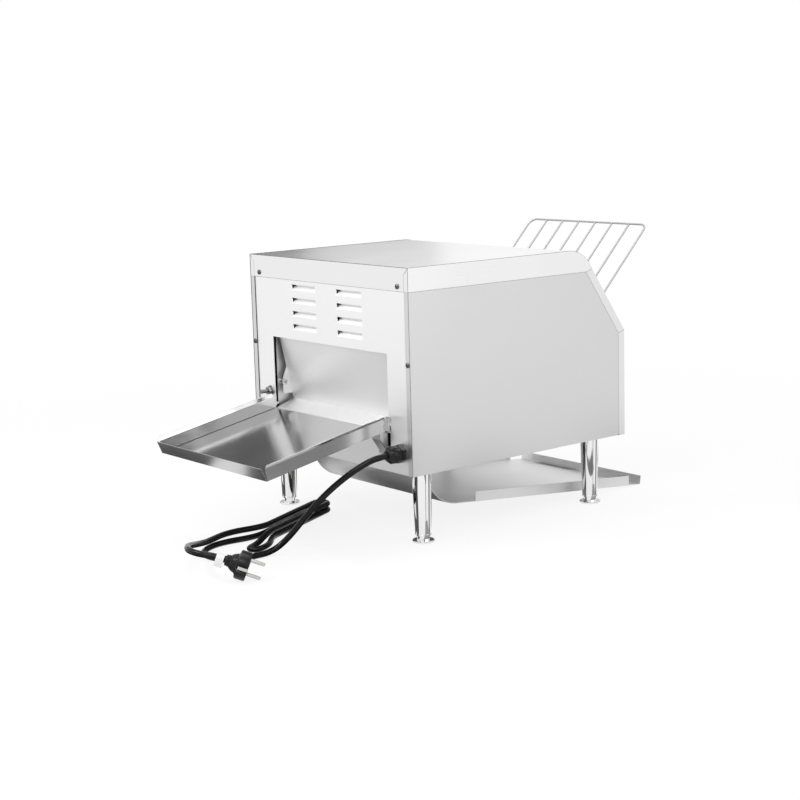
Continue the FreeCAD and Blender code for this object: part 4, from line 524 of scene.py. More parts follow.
@dataclass
class Studio:
    """Camera at the photograph's place, pale floor, soft lamps and grey cards for the gloss.

    A lamp is a name, centre, aim, size and watts. A flag is a name, centre, aim, size and grey.
    A fan is a name, compass heading, spread and grey; one of each stands at every leg.
    """

    azimuth: float = 231.47
    elevation: float = 10.02
    roll: float = -1.64
    lens: float = 74.91
    sensor: float = 36.0
    sight: float = 50.0
    camera_spot: tuple[float, float, float] = (-1875.47, 1567.86, 589.54)
    light_level: float = 0.52
    near_share: float = 0.86
    near: float = 0.5
    far: float = 1.6
    floor_reach: float = 12.0
    fan_reach: float = 0.42
    fan_height: float = 0.003
    legs_along: tuple = (-0.159, 0.159)
    legs_back: tuple = (0.121, -0.201)
    lamps: tuple = (
        ("key_softbox", (-1.2, 1.6, 1.7), (0.0, 0.1, 0.2), (1.4, 1.2), 18.0),
        ("strip_softbox", (0.45, 1.35, 1.25), (0.0, 0.35, 0.05), (0.9, 0.1), 9.0),
        ("top_softbox", (0.2, 0.0, 2.2), (0.0, 0.0, 0.2), (1.6, 1.6), 16.0),
        ("side_softbox", (-2.2, -0.4, 0.9), (0.0, 0.0, 0.2), (1.2, 1.2), 10.0),
    )
    flags: tuple = (
        ("tray_flag", (1.55, -0.4, 0.86), (0.05, 0.27, 0.13), (0.9, 0.9), 0.12),
        ("lid_flag", (1.54, -0.93, 0.63), (0.0, 0.0, 0.38), (0.64, 0.5), 0.52),
        ("wall_flag", (-1.15, -0.27, 0.74), (0.05, 0.4, 0.15), (0.55, 0.4), 0.06),
        ("near_flag", (-0.37, 0.19, 0.09), (-0.13, 0.35, 0.15), (0.24, 0.09), 0.3),
        ("lip_flag", (0.32, 0.57, 0.012), (0.32, 0.57, 1.0), (0.34, 0.3), 0.4),
    )
    fans: tuple = (
        ("right_fan_", 232.0, 22.0, 0.2),
        ("left_fan_", 66.0, 36.0, 0.1),
        ("middle_fan_", 182.0, 8.0, 0.35),
    )

    def camera(self) -> None:
        """Sets the camera from its azimuth, elevation and roll."""
        az, el, roll = (math.radians(v) for v in (self.azimuth, self.elevation, self.roll))
        look = np.array([-math.sin(az) * math.cos(el), math.cos(az) * math.cos(el), -math.sin(el)])
        level = unit(np.cross(look, UP))
        rise = np.cross(level, look)
        right = math.cos(roll) * level + math.sin(roll) * rise
        up = math.cos(roll) * rise - math.sin(roll) * level
        data = bpy.data.cameras.new("studio_camera")
        data.lens, data.sensor_width, data.clip_end = self.lens, self.sensor, self.sight
        seen = linked("studio_camera", data)
        stand(seen, right, up, -look, spot(*self.camera_spot))
        bpy.context.scene.camera = seen

    def lamp(self, name: str, centre: tuple, aim: tuple, size: tuple, power: float) -> None:
        """Adds an area lamp that points at a spot.

        Args:
            name: lamp name.
            centre: where it hangs.
            aim: what it points at.
            size: width and height.
            power: watts.
        """
        data = bpy.data.lights.new(name, "AREA")
        data.shape = "RECTANGLE"
        data.size, data.size_y = size
        data.energy = power
        right, up, way = facing(centre, aim)
        stand(linked(name, data), right, up, -way, np.array(centre))

    def flag(self, name: str, centre: tuple, aim: tuple, size: tuple, tone: float) -> None:
        """Adds a rectangular card.

        Args:
            name: card name.
            centre: where it stands.
            aim: what it faces.
            size: width and height.
            tone: grey level that gloss sees.
        """
        right, up, _ = facing(centre, aim)
        across, rise, middle = right * size[0] / 2, up * size[1] / 2, np.array(centre)
        self.shade_card(name, [middle - across - rise, middle + across - rise,
                               middle + across + rise, middle - across + rise], tone)

    def fan(self, name: str, foot: tuple[float, float], heading: float, spread: float,
            tone: float) -> None:
        """Adds a low wedge whose tip is at a leg, for one upright band in its chrome.

        Args:
            name: card name.
            foot: the leg's place.
            heading: compass heading in degrees that the wedge opens towards.
            spread: its angle in degrees.
            tone: grey level that gloss sees.
        """
        tip = np.array([*foot, self.fan_height])
        turns = np.radians([heading - spread / 2.0, heading + spread / 2.0])
        ways = np.c_[np.cos(turns), np.sin(turns), np.zeros(2)]
        self.shade_card(name, [tip, *(tip + self.fan_reach * ways)], tone)

    def shade_card(self, name: str, corners: list[Points], tone: float) -> None:
        """Adds a flat card that only reflections see, as a studio's flags do."""
        kit = Kit(name + "_cloth")
        made = flat_mesh(name, corners, kit.end(kit.glow(tone)))
        made.visible_camera = False
        made.visible_diffuse = False
        made.visible_transmission = False
        made.visible_shadow = False

    def world(self) -> None:
        """White surroundings: full white where they are seen, softer as light."""
        kit = Kit("white_studio", world=True)
        level = kit.plain_sight() * (1.0 - self.light_level) + self.light_level
        shine = kit.node("ShaderNodeBackground", None,
                         {"Color": (1.0, 1.0, 1.0, 1.0), "Strength": level})
        bpy.context.scene.world = kit.end(shine.outputs["Background"])

    def floor(self) -> None:
        """Pale floor: its own white grows with distance, so shadows stay near the toaster."""
        kit = Kit("paper_floor")
        place = kit.coords()
        paper = kit.node("ShaderNodeBsdfPrincipled", None, {
            "Base Color": kit.mix(kit.noise(place, 220.0), (0.93, 0.93, 0.93), (0.97, 0.97, 0.97)),
            "Roughness": 0.8,
        })
        away = kit.node("ShaderNodeVectorMath", {"operation": "LENGTH"}, {0: place})
        reach = Shade(kit, away.outputs["Value"]).between(self.near, self.far)
        share = kit.plain_sight() * (reach * (1.0 - self.near_share) + self.near_share)
        both = kit.node("ShaderNodeMixShader", None,
                        {0: share, 1: paper.outputs["BSDF"], 2: kit.glow(1.0)})
        reach = self.floor_reach
        made = flat_mesh("studio_floor", [(-reach, -reach, 0), (reach, -reach, 0),
                                          (reach, reach, 0), (-reach, reach, 0)],
                         kit.end(both.outputs[0]))

    def build(self) -> None:
        """Sets up the whole studio."""
        self.camera()
        self.world()
        self.floor()
        for lamp in self.lamps:
            self.lamp(*lamp)
        for flag in self.flags:
            self.flag(*flag)
        for along in self.legs_along:
            for back in self.legs_back:
                place = "%d_%d" % (along > 0, back > 0)
                for name, heading, spread, tone in self.fans:
                    self.fan(name + place, (along, back), heading, spread, tone)
        bpy.context.scene.view_settings.view_transform = "Standard"


class HankRoute:
    """Control points of the cord's hank, walked in the hank's own frame in millimetres."""

    END_INSET = 9.0
    SHORTEST_RUN = 4.0
    WIDEST_STEP = math.radians(46.0)

    def __init__(self, along: float, across: float, height: float, heading: float) -> None:
        """Starts the walk at a place and heading."""
        self.place = np.array([along, across, height])
        self.heading = heading
        self.points: list[Points] = []

    def at(self, forward: float, left: float = 0.0, rise: float = 0.0) -> Points:
        """Point beside the walker."""
        cos, sin = math.cos(self.heading), math.sin(self.heading)
        return self.place + np.array([forward * cos - left * sin, forward * sin + left * cos, rise])

    def line(self, length: float) -> None:
        """Walks straight on, with a point near each end of a long run."""
        inset = min(self.END_INSET, length / 3.0)
        if length > self.SHORTEST_RUN:
            self.points += [self.at(inset), self.at(length - inset)]
        self.place = self.at(length)

    def turn(self, radius: float, angle: float) -> None:
        """Turns left for a positive angle; each point stands where two tangents meet."""
        steps = max(1, math.ceil(abs(angle) / self.WIDEST_STEP))
        step = angle / steps
        swing = abs(step)
        left = math.copysign(radius * (1.0 - math.cos(swing)), angle)
        for _ in range(steps):
            self.points.append(self.at(radius * math.tan(swing / 2.0)))
            self.place = self.at(radius * math.sin(swing), left)
            self.heading += step

    def climb(self, length: float, rise: float) -> None:
        """Goes up by rise over a length in one easy wave."""
        self.points += [self.at(length * 0.25), self.at(length * 0.75, 0.0, rise)]
        self.place = self.at(length, 0.0, rise)


@dataclass
class SupplyCord:
    """Cord from the gland through its hank to the plug, as one spline."""

    finishes: Finishes
    radius: float = 4.25
    hank_origin: tuple[float, float] = (82.5, 159.5)
    hank_angle: float = 115.7
    bulb: float = 42.0
    bulb_place: float = 254.0
    entry: float = 25.0
    fold: float = 11.0
    inner_fold: float = 8.5
    sweep_radius: float = 90.0
    layer: float = 9.3
    reach: float = 232.0
    climb_length: float = 62.0
    tail_lead: float = 22.0
    length: float = 1.586
    last_run: float = 14.5
    section_steps: int = 5
    curve_steps: int = 8
    spline_order: int = 3
    lead: tuple = (
        (-159.0, 227.0, 129.0), (-158.8, 243.0, 128.8), (-152.0, 260.5, 121.5),
        (-137.0, 281.5, 105.0), (-116.5, 301.5, 80.5), (-95.5, 318.5, 50.5),
        (-85.0, 333.5, 28.5), (-73.95, 347.82, 10.99), (-69.35, 363.86, 4.25),
    )
    tail: tuple = (
        (255.6, 42.0, 13.6), (270.1, 40.0, 15.7), (284.5, 37.6, 18.1), (298.6, 34.2, 21.0),
        (312.6, 29.8, 24.2), (326.2, 24.5, 27.5), (339.4, 18.3, 30.6), (352.1, 11.2, 33.4),
        (364.4, 3.3, 35.5), (375.9, -5.5, 36.8), (383.6, -17.8, 37.0), (385.0, -32.2, 35.8),
    )

    def world(self, point: Points) -> Points:
        """Point of the hank's frame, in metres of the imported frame."""
        angle = math.radians(self.hank_angle)
        x = self.hank_origin[0] + point[0] * math.cos(angle) + point[1] * math.sin(angle)
        y = self.hank_origin[1] + point[0] * math.sin(angle) - point[1] * math.cos(angle)
        return spot(x, y, point[2])

    def sweep(self, route: HankRoute, offset: float) -> None:
        """Moves the walker sideways on two arcs."""
        swing = math.acos(1.0 - abs(offset) / (2.0 * self.sweep_radius))
        side = 1.0 if offset > 0 else -1.0
        route.turn(self.sweep_radius, side * swing)
        route.turn(self.sweep_radius, -side * swing)

    def sweep_length(self, offset: float) -> float:
        """Length that a sideways sweep takes."""
        swing = math.acos(1.0 - abs(offset) / (2.0 * self.sweep_radius))
        return 2.0 * self.sweep_radius * math.sin(swing)

    def hank(self) -> HankRoute:
        """Walks the doubled hank: out on the floor, back, and once more on top."""
        entry = math.radians(self.entry)
        straight = 2.0 * self.radius
        along = self.bulb_place + self.bulb * math.sin(entry) - straight * math.cos(entry)
        across = -self.bulb * math.cos(entry) - straight * math.sin(entry)
        route = HankRoute(along, across, self.radius, entry)
        offset = self.bulb - self.fold
        strand = self.bulb_place - self.sweep_length(offset)
        route.points.append(route.place.copy())
        route.place = route.at(straight, 0.0, 0.0)
        route.turn(self.bulb, math.pi - entry)
        self.sweep(route, offset)
        route.line(strand - self.fold)
        route.turn(self.fold, math.pi)
        route.line(strand - self.fold)
        spread = 2.0 * self.inner_fold
        self.sweep(route, -spread)
        far = strand + self.sweep_length(spread)
        route.line(self.reach - far)
        route.turn(self.inner_fold, math.pi)
        route.line(self.reach - far)
        route.climb(self.climb_length, self.layer)
        route.line(far - self.climb_length - self.fold)
        route.turn(self.fold, -math.pi)
        route.line(strand - self.tail_lead - self.fold)
        self.sweep(route, offset)
        return route

    def build(self, plug: "MainsPlug", riders: list) -> bpy.types.Object:
        """Args:
            plug: the plug that it ends in.
            riders: pieces on the cord; not used.

        Returns:
            The curve object.
        """
        points = [spot(*p) for p in self.lead]
        points += [self.world(p) for p in self.hank().points]
        points += [self.world(p) for p in self.tail]
        points += [plug.entry - plug.axis * self.last_run * MM, plug.entry]
        curve = bpy.data.curves.new("supply_cord", "CURVE")
        curve.dimensions = "3D"
        curve.bevel_depth = self.radius * MM
        curve.bevel_resolution = self.section_steps
        curve.resolution_u = self.curve_steps
        curve.use_fill_caps = True
        curve.materials.append(self.finishes.sheath)
        line = curve.splines.new("NURBS")
        line.points.add(len(points) - 1)
        line.points.foreach_set("co", np.c_[np.array(points), np.ones(len(points))].ravel())
        line.order_u = self.spline_order
        line.use_endpoint_u = True
        cord = linked("supply_cord", curve)
        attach(cord, "toaster")
        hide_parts("cord_lead", "cord_hank", "cord_tail")
        return cord


@dataclass
class MainsPlug:
    """Moulded two-pin plug with side earth strips, its pins and the cord's tie."""

    finishes: Finishes
    heading: float = 230.9
    face_spot: tuple[float, float] = (-151.1, 448.2)
    radius: float = 19.0
    pin_radius: float = 2.4
    pin_length: float = 19.0
    pin_spacing: float = 19.0
    body_length: float = 31.0
    earth_offset: float = 10.0
    flat: float = 17.2
    collar: float = -15.0
    notch_width: float = 0.035
    notch_depth: float = 0.15
    strip_half_width: float = 2.0
    strip_lift: float = 0.6
    strip_lean: float = 0.2
    tie_place: float = 7.25
    tie_half_length: float = 5.1
    tie_sheet: float = 0.7
    tie_low: float = 4.75
    tie_high: float = 11.6
    tie_wide: float = 4.9
    tie_pinch: float = 1.6
    axis: Points = field(init=False)
    down: Points = field(init=False)
    face: Points = field(init=False)
    entry: Points = field(init=False)
    across: Points = field(init=False)

    def __post_init__(self) -> None:
        """Works out how the plug lies: on its rim and on the tip of its lower pin."""
        tip = math.atan((self.radius - self.pin_spacing / 2 - self.pin_radius) / self.pin_length)
        turn = math.radians(self.heading)
        level = np.array([math.cos(turn), math.sin(turn), 0.0])
        self.axis = level * math.cos(tip) - UP * math.sin(tip)
        self.down = -level * math.sin(tip) - UP * math.cos(tip)
        self.across = np.cross(self.axis, self.down)
        self.face = spot(*self.face_spot, self.radius * math.cos(tip))
        self.entry = self.face - self.axis * self.body_length * MM

    def body(self) -> bpy.types.Object:
        """Body: radius along the axis times side flats; finger ribs ring the waist."""
        rows = np.array([
            (0.0, 15.4), (0.0, 17.2), (-0.4, 18.2), (-1.2, 18.8), (-2.6, 19.0), (-12.8, 19.0),
            (-14.0, 18.6), (-14.8, 17.4), (-15.2, 14.6), (-16.0, 13.4), (-17.2, 12.4),
            (-18.2, 12.6), (-18.9, 12.2), (-19.7, 11.4), (-20.5, 11.6), (-21.2, 11.2),
            (-22.0, 10.2), (-22.8, 10.3), (-23.4, 9.6), (-24.4, 8.4), (-25.2, 8.5),
            (-25.6, 7.4), (-26.4, 7.4), (-26.7, 8.0), (-27.6, 8.0), (-27.9, 7.0),
            (-28.7, 7.0), (-29.0, 7.4), (-30.0, 7.3), (-30.8, 6.6), (-31.0, 5.4),
        ])
        columns = 96
        turn = full_turn(columns)
        upright = np.abs(np.sin(turn))
        flat = np.clip(self.flat / (upright * self.radius + 1e-6), 0.0, 1.0)
        notch = np.exp(-((upright - 1.0) / self.notch_width) ** 2) * self.notch_depth
        front = (rows[:, :1] > self.collar).astype(float)
        ripple = 1.0 - front * (1.0 - flat) - front * notch
        vertices, faces = lathe(rows, self.face, self.axis, self.down, columns, ripple)
        outward = [face[::-1] for face in faces]
        made = mesh_piece("plug_moulding", [(vertices, outward)], "toaster",
                          self.finishes.gloss, 34.0)
        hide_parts("plug_body")
        return made

    def earth(self) -> bpy.types.Object:
        """Earth strips: flat bars bent over the rim, and the socket's sleeve as a turned ring."""
        path = np.array([(-13.0, 17.0), (-9.0, 17.5), (-3.0, 17.6), (-0.6, 17.2), (0.25, 16.2),
                         (0.3, 13.2)]) * MM
        half = self.down * self.strip_half_width * MM
        parts = []
        for way in (-1.0, 1.0):
            outward = self.across * way
            centre = self.face + path[:, :1] * self.axis + path[:, 1:] * outward
            thick = (outward * self.strip_lift - self.axis * self.strip_lean) * MM
            ring = np.stack([centre - half, centre + half, centre + half - thick,
                             centre - half - thick], 1)
            if way > 0:
                ring = ring[:, ::-1]
            parts.append((ring.reshape(-1, 3), shell_faces(len(path), 4)))
        rows = np.array([(0.0, 2.9), (0.25, 3.5), (0.5, 3.4), (0.5, 2.7), (0.1, 2.5), (0.1, 0.2)])
        parts.append(lathe(rows, self.face + self.across * self.earth_offset * MM, self.axis,
                           self.down, 32))
        return mesh_piece("plug_earth_strips", parts, "toaster", self.finishes.pin)

    def pins(self) -> bpy.types.Object:
        """Pins: round bars with rounded tips."""
        rows = np.array([(-8.0, 2.3), (0.0, 2.4), (16.6, 2.4), (17.8, 2.2), (18.6, 1.7),
                         (19.0, 0.9)])
        offset = self.down * self.pin_spacing / 2.0 * MM
        parts = [lathe(rows, self.face + way * offset, self.axis, self.down, 28)
                 for way in (-1.0, 1.0)]
        made = mesh_piece("plug_pin_pair", parts, "toaster", self.finishes.pin)
        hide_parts("plug_pins")
        return made

    def tie(self) -> bpy.types.Object:
        """Tie: a thin band, its section a tall loop pinched flat over the cord."""
        columns = 64
        cos, sin = np.cos(full_turn(columns)), np.sin(full_turn(columns))
        high = np.where(cos < 0, self.tie_low, self.tie_high)
        wide = self.tie_wide - self.tie_pinch * np.clip(cos, 0.0, 1.0) ** 2
        grow = np.array([0.0, self.tie_sheet, self.tie_sheet, 0.0])[:, None]
        along = np.array([-1.0, -1.0, 1.0, 1.0])[:, None, None] * self.tie_half_length
        middle = self.entry - self.axis * self.tie_place * MM
        rings = (middle + along * MM * self.axis
                 + (cos * (high + grow))[..., None] * MM * self.down
                 + (sin * (wide + grow))[..., None] * MM * self.across)
        faces = (grid_faces(5, columns) % (4 * columns)).tolist()
        made = mesh_piece("cord_tie_band", [(rings.reshape(-1, 3), faces)], "toaster",
                          self.finishes.white)
        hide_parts("cord_tie")
        return made


@dataclass
class Gland:
    """Cable gland: hexagonal foot, fluted dome nut and rounded sealing nose."""

    finishes: Finishes
    place: tuple[float, float, float] = (-159.0, 202.0, 129.0)
    hex_end: float = 7.1
    hex_from_radius: float = 11.5
    dome_start: float = 8.3
    dome_end: float = 20.0
    flutes: float = 12.0
    flute_mean: float = 0.985
    flute_depth: float = 0.02

    def build(self) -> bpy.types.Object:
        """Dome: radius falls to the nose, and flutes ripple it by a cosine of the turn."""
        face = spot(*self.place)
        rows = np.array([
            (-6.0, 8.0), (0.0, 8.0), (0.0, 12.2), (0.6, 12.9), (1.2, 13.0), (6.4, 13.0),
            (7.0, 12.6), (7.4, 11.2), (8.0, 11.0), (8.4, 12.0), (9.0, 12.3), (17.6, 12.0),
            (19.0, 11.4), (21.0, 9.8), (22.6, 8.6), (23.4, 7.6), (24.2, 7.4), (24.8, 6.8),
            (25.0, 5.6),
        ])
        columns = 120
        turn = full_turn(columns)
        sixth = math.pi / 6
        hexes = math.cos(sixth) / np.cos((turn + sixth) % (2 * sixth) - sixth)
        along, radius = rows[:, :1], rows[:, 1:]
        nut = (along >= 0.0) & (along <= self.hex_end) & (radius > self.hex_from_radius)
        dome = ((along > self.dome_start) & (along < self.dome_end)).astype(float)
        flutes = self.flute_mean + self.flute_depth * np.cos(turn * self.flutes)
        ripple = 1.0 + nut * (hexes - 1.0) + dome * (flutes - 1.0)
        lock = np.array([(-5.9, 7.0), (-5.9, 11.2), (-1.1, 11.2), (-1.1, 7.0)])
        parts = [lathe(rows, face, BACK, ALONG, columns, ripple),
                 lathe(lock, face, BACK, ALONG, columns, hexes)]
        made = mesh_piece("cable_gland", parts, "toaster",
                          self.finishes.gloss, 28.0)
        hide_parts("cord_gland")
        return made


@dataclass
class HeatingTubes:
    """Filament coils inside the quartz tubes."""

    finishes: Finishes
    turns: int = 46
    steps: int = 10
    coil_radius: float = 3.0
    coil_length: float = 254.0
    wire_radius: float = 0.45
    tilt: float = math.radians(5.8)
    start: tuple[float, float] = (125.0, 205.0)
    rows: tuple = (("upper", (30.0, 110.0, 190.0), 44.0), ("lower", (60.0, 130.0, 200.0), 0.0))

    def build(self) -> None:
        """Coil: a helix along X inside each tube, as a swept tube."""
        share = np.linspace(0.0, 1.0, self.turns * self.steps + 1)
        turn = share * self.turns * 2.0 * math.pi
        cos, sin = math.cos(self.tilt), math.sin(self.tilt)
        for name, places, height in self.rows:
            parts = []
            for along in places:
                y = self.start[0] - along * cos + height * sin
                z = self.start[1] + along * sin + height * cos
                helix = np.c_[(share - 0.5) * self.coil_length, y + self.coil_radius * np.cos(turn),
                              z + self.coil_radius * np.sin(turn)]
                parts.append(tube(helix * MM + BACK * CAD_SHIFT_Y, self.wire_radius, 6))
            mesh_piece(name + "_filaments", parts, "toaster", self.finishes.filament)


@dataclass
class FrontDetails:
    """Dial marks round the two controls, pointers on the knobs and the lamp's lens."""

    finishes: Finishes
    ticks: int = 11
    dial_height: float = 170.0
    mark_start: float = 20.0
    mark_end: float = 23.6
    long_mark_end: float = 25.5
    mark_half_width: float = 0.45
    mark_faces: tuple[float, float] = (-203.0, -203.12)
    pointer_place: tuple[float, float] = (-219.3, 176.5)
    lens_place: tuple[float, float, float] = (0.0, -205.3, 210.0)
    lens_rise: float = 2.6
    lens_radius: float = 6.2
    lens_tip: float = 0.05
    pointer_blunt: float = 0.13
    pointer_stretch: float = 6.0
    knobs: tuple = (("heat", 95.0), ("speed", -95.0))

    def dial(self, name: str, centre_x: float) -> None:
        """Marks: short bars set round the knob, longer at both ends and at the top."""
        parts = []
        turns = np.radians(np.linspace(-135.0, 135.0, self.ticks))
        for index, turn in enumerate(turns):
            long = index in (0, self.ticks // 2, self.ticks - 1)
            inner, outer = self.mark_start, self.long_mark_end if long else self.mark_end
            way = np.array([math.sin(turn), math.cos(turn)])
            side = np.array([way[1], -way[0]]) * self.mark_half_width
            corners = [way * inner - side, way * outer - side, way * outer + side,
                       way * inner + side]
            rings = [spot(centre_x + c[0], y, self.dial_height + c[1])
                     for y in self.mark_faces for c in corners]
            parts.append((np.array(rings), shell_faces(2, 4)))
        mesh_piece(name + "_dial_marks", parts, "toaster", self.finishes.ink)

    def pointer(self, name: str, centre_x: float) -> None:
        """Pointer: a slim raised bar along the top half of the knob's grip."""
        columns = 32
        rows = np.array([(0.0, 0.9), (0.35, 0.8), (0.45, 0.3)])
        narrow = np.abs(np.cos(full_turn(columns))) + self.pointer_blunt
        tall = np.clip(1.0 / narrow, 1.0, self.pointer_stretch)
        start = spot(centre_x, *self.pointer_place)
        mesh_piece(name + "_pointer", [lathe(rows, start, -BACK, ALONG, columns, tall)], name,
                   self.finishes.white)

    def lens(self) -> None:
        """Lens: a low dome, its height the sine and its radius the cosine of one quarter turn."""
        turn = np.linspace(0.0, math.pi / 2.0, 12)
        radius = self.lens_radius * np.cos(turn) + self.lens_tip
        profile = np.c_[self.lens_rise * np.sin(turn), radius]
        mesh_piece("lamp_lens", [lathe(profile, spot(*self.lens_place), -BACK, ALONG, 36)],
                   "toaster", self.finishes.lens)

    def build(self) -> None:
        """Makes both dials, both pointers and the lens."""
        for make in (self.dial, self.pointer):
            for name, centre_x in self.knobs:
                make(name, centre_x)
        self.lens()


@dataclass
class SheetEdges:
    """Rolled safety edges along the trays, as slim beads, and painted shade along the rear tray's
    folds, as dark beads.
    """

    finishes: Finishes
    bead: float = 0.55
    rear_slope: float = math.radians(10.8)
    rear_start: tuple[float, float] = (204.6, 155.7)
    flare: tuple[float, float] = (134.7, 21.8)
    flare_run: tuple[float, float] = (4.0, 198.4)
    corner: tuple[float, float] = (130.1, 0.9)
    corner_run: tuple[float, float] = (4.0, 198.0)
    rear_lip: tuple[float, float, float] = (129.4, 203.9, 18.0)
    front_slope: float = math.radians(5.23)
    front_start: tuple[float, float] = (-290.0, 15.5)
    wall_x: float = 134.6
    wall_run: tuple[float, float] = (49.0, -263.5)
    front_lip: tuple[float, float, float] = (134.0, -291.4, 14.1)

    def bead_between(self, start: Points, end: Points, count: int = 24) -> Shell:
        """Bead along one straight run."""
        share = np.linspace(0.0, 1.0, count)[:, None]
        return tube(start * (1.0 - share) + end * share, self.bead)

    def on_rear_tray(self, x: float, out: float, up: float) -> Points:
        """Point in the rear tray's own slope."""
        cos, sin = math.cos(self.rear_slope), math.sin(self.rear_slope)
        y, z = self.rear_start
        return spot(x, y + out * cos + up * sin, z - out * sin + up * cos)

    def rear_pair(self, place: tuple[float, float], run: tuple[float, float]) -> list[Shell]:
        """Beads on both sides of the rear tray, at (x, up) over a run outward."""
        x, up = place
        return [self.bead_between(*(self.on_rear_tray(side * x, out, up) for out in run))
                for side in (-1.0, 1.0)]

    def rear(self) -> None:
        """Beads on the rear tray's flares and on its lip, and a dark bead of painted shade in each
        floor corner.
        """
        beads = self.rear_pair(self.flare, self.flare_run)
        x, out, up = self.rear_lip
        beads.append(self.bead_between(self.on_rear_tray(-x, out, up),
                                       self.on_rear_tray(x, out, up)))
        mesh_piece("rear_tray_beads", beads, "rear_tray", self.finishes.tray)
        # The dark beads in the floor corners are painted shade where the walls meet the floor.
        mesh_piece("rear_tray_fold_shade", self.rear_pair(self.corner, self.corner_run), "rear_tray",
                   self.finishes.seam)

    def front(self) -> None:
        """Beads on the front tray's walls and lip."""
        start, height = self.front_start
        beads = []
        for side in (-1.0, 1.0):
            ends = [spot(side * self.wall_x, y, height + (y - start) * math.tan(self.front_slope))
                    for y in self.wall_run]
            beads.append(self.bead_between(*ends))
        x, y, z = self.front_lip
        beads.append(self.bead_between(spot(-x, y, z), spot(x, y, z)))
        mesh_piece("front_tray_beads", beads, "front_tray",
                   self.finishes.low_tray)


@dataclass
class CasingSeams:
    """Shadow lines in the joints and along the folds of the casing's sheets."""

    finishes: Finishes
    half_width: float = 185.0
    back: float = 203.0
    front: float = -203.0
    base: float = 100.0
    top: float = 380.0
    knee: float = 256.6
    slant: float = math.radians(55.4)
    corner_radius: float = 50.0
    band: float = 12.0
    skirt: float = 348.0
    mitre_rise: float = 3.5
    corner_return: float = 9.5
    bead: float = 0.32
    sunk: float = 0.32
    proud: float = 0.1
    sheet: float = 1.0
    joint_depth: float = 0.9
    slit: float = 0.2
    slit_depth: float = 0.1
    gaps: tuple = ((-1.0, 0.22), (1.0, 0.5))
    gap_depth: float = 0.55

    def slant_y(self, height: float, inward: float = 0.0) -> float:
        """Y of the slanted face, moved inward, at a height."""
        rise = height - self.knee
        return self.front + inward / math.sin(self.slant) + rise / math.tan(self.slant)

    def side_lines(self) -> list[list[tuple[float, float]]]:
        """Joints and the lid's fold on a side face, as (y, z) runs."""
        mitre_in = (self.slant_y(self.skirt, self.band), self.skirt)
        mitre_out = (self.slant_y(self.skirt + self.mitre_rise), self.skirt + self.mitre_rise)
        drop = self.band * (1.0 / math.sin(self.slant) - 1.0) * math.tan(self.slant)
        knee_in = (self.front + self.band, self.knee - drop)
        reach = self.corner_radius * math.tan(self.slant / 2.0)
        centre_y = self.slant_y(self.top) + reach
        turn = np.linspace(0.5 * math.pi, 0.5 * math.pi + self.slant, 14)
        radius = self.corner_radius + self.proud
        centre_z = self.top - self.corner_radius
        arc = [(centre_y + radius * math.cos(t), centre_z + radius * math.sin(t)) for t in turn]
        fold = self.top + self.proud
        return [
            [mitre_in, (self.back, self.skirt)],
            [mitre_in, mitre_out],
            [knee_in, mitre_in],
            [knee_in, (self.front, self.knee)],
            [(self.front + self.band, self.base), knee_in],
            [(self.back, fold), *arc, mitre_out],
        ]

    def rear_lines(self) -> list[tuple[list[tuple[float, float]], float, float]]:
        """Joints and folds on the rear face, as (x, z) runs with their y and radius."""
        inner = self.half_width - self.corner_return
        edge = self.half_width - self.sunk
        top = self.top + self.proud
        face = self.back + self.proud
        lines = [
            ([(-edge, top), (edge, top)], face, self.bead),
            ([(-inner, self.skirt), (inner, self.skirt)], self.back - self.joint_depth, self.bead),
        ]
        for side, radius in self.gaps:
            slit = [(side * inner, self.skirt), (side * inner, self.top - self.corner_return),
                    (side * (self.half_width - self.sheet), self.top - self.sheet)]
            lines.append((slit, self.back - self.slit_depth, self.slit))
            lines.append(([(side * inner, self.base), (side * inner, self.skirt)],
                          self.back - self.gap_depth, radius))
            lines.append(([(side * edge, self.base), (side * edge, top)], face, self.bead))
        return lines

    def build(self) -> None:
        """Each line is a fine round bead sunk to the sheet's face."""
        parts = []
        for line in self.side_lines():
            for side in (-1.0, 1.0):
                x = side * (self.half_width - self.sunk)
                parts.append(tube(np.array([spot(x, y, z) for y, z in line]), self.bead))
        for line, y, radius in self.rear_lines():
            parts.append(tube(np.array([spot(x, y, z) for x, z in line]), radius))
        mesh_piece("casing_seam_lines", parts, "toaster", self.finishes.seam)


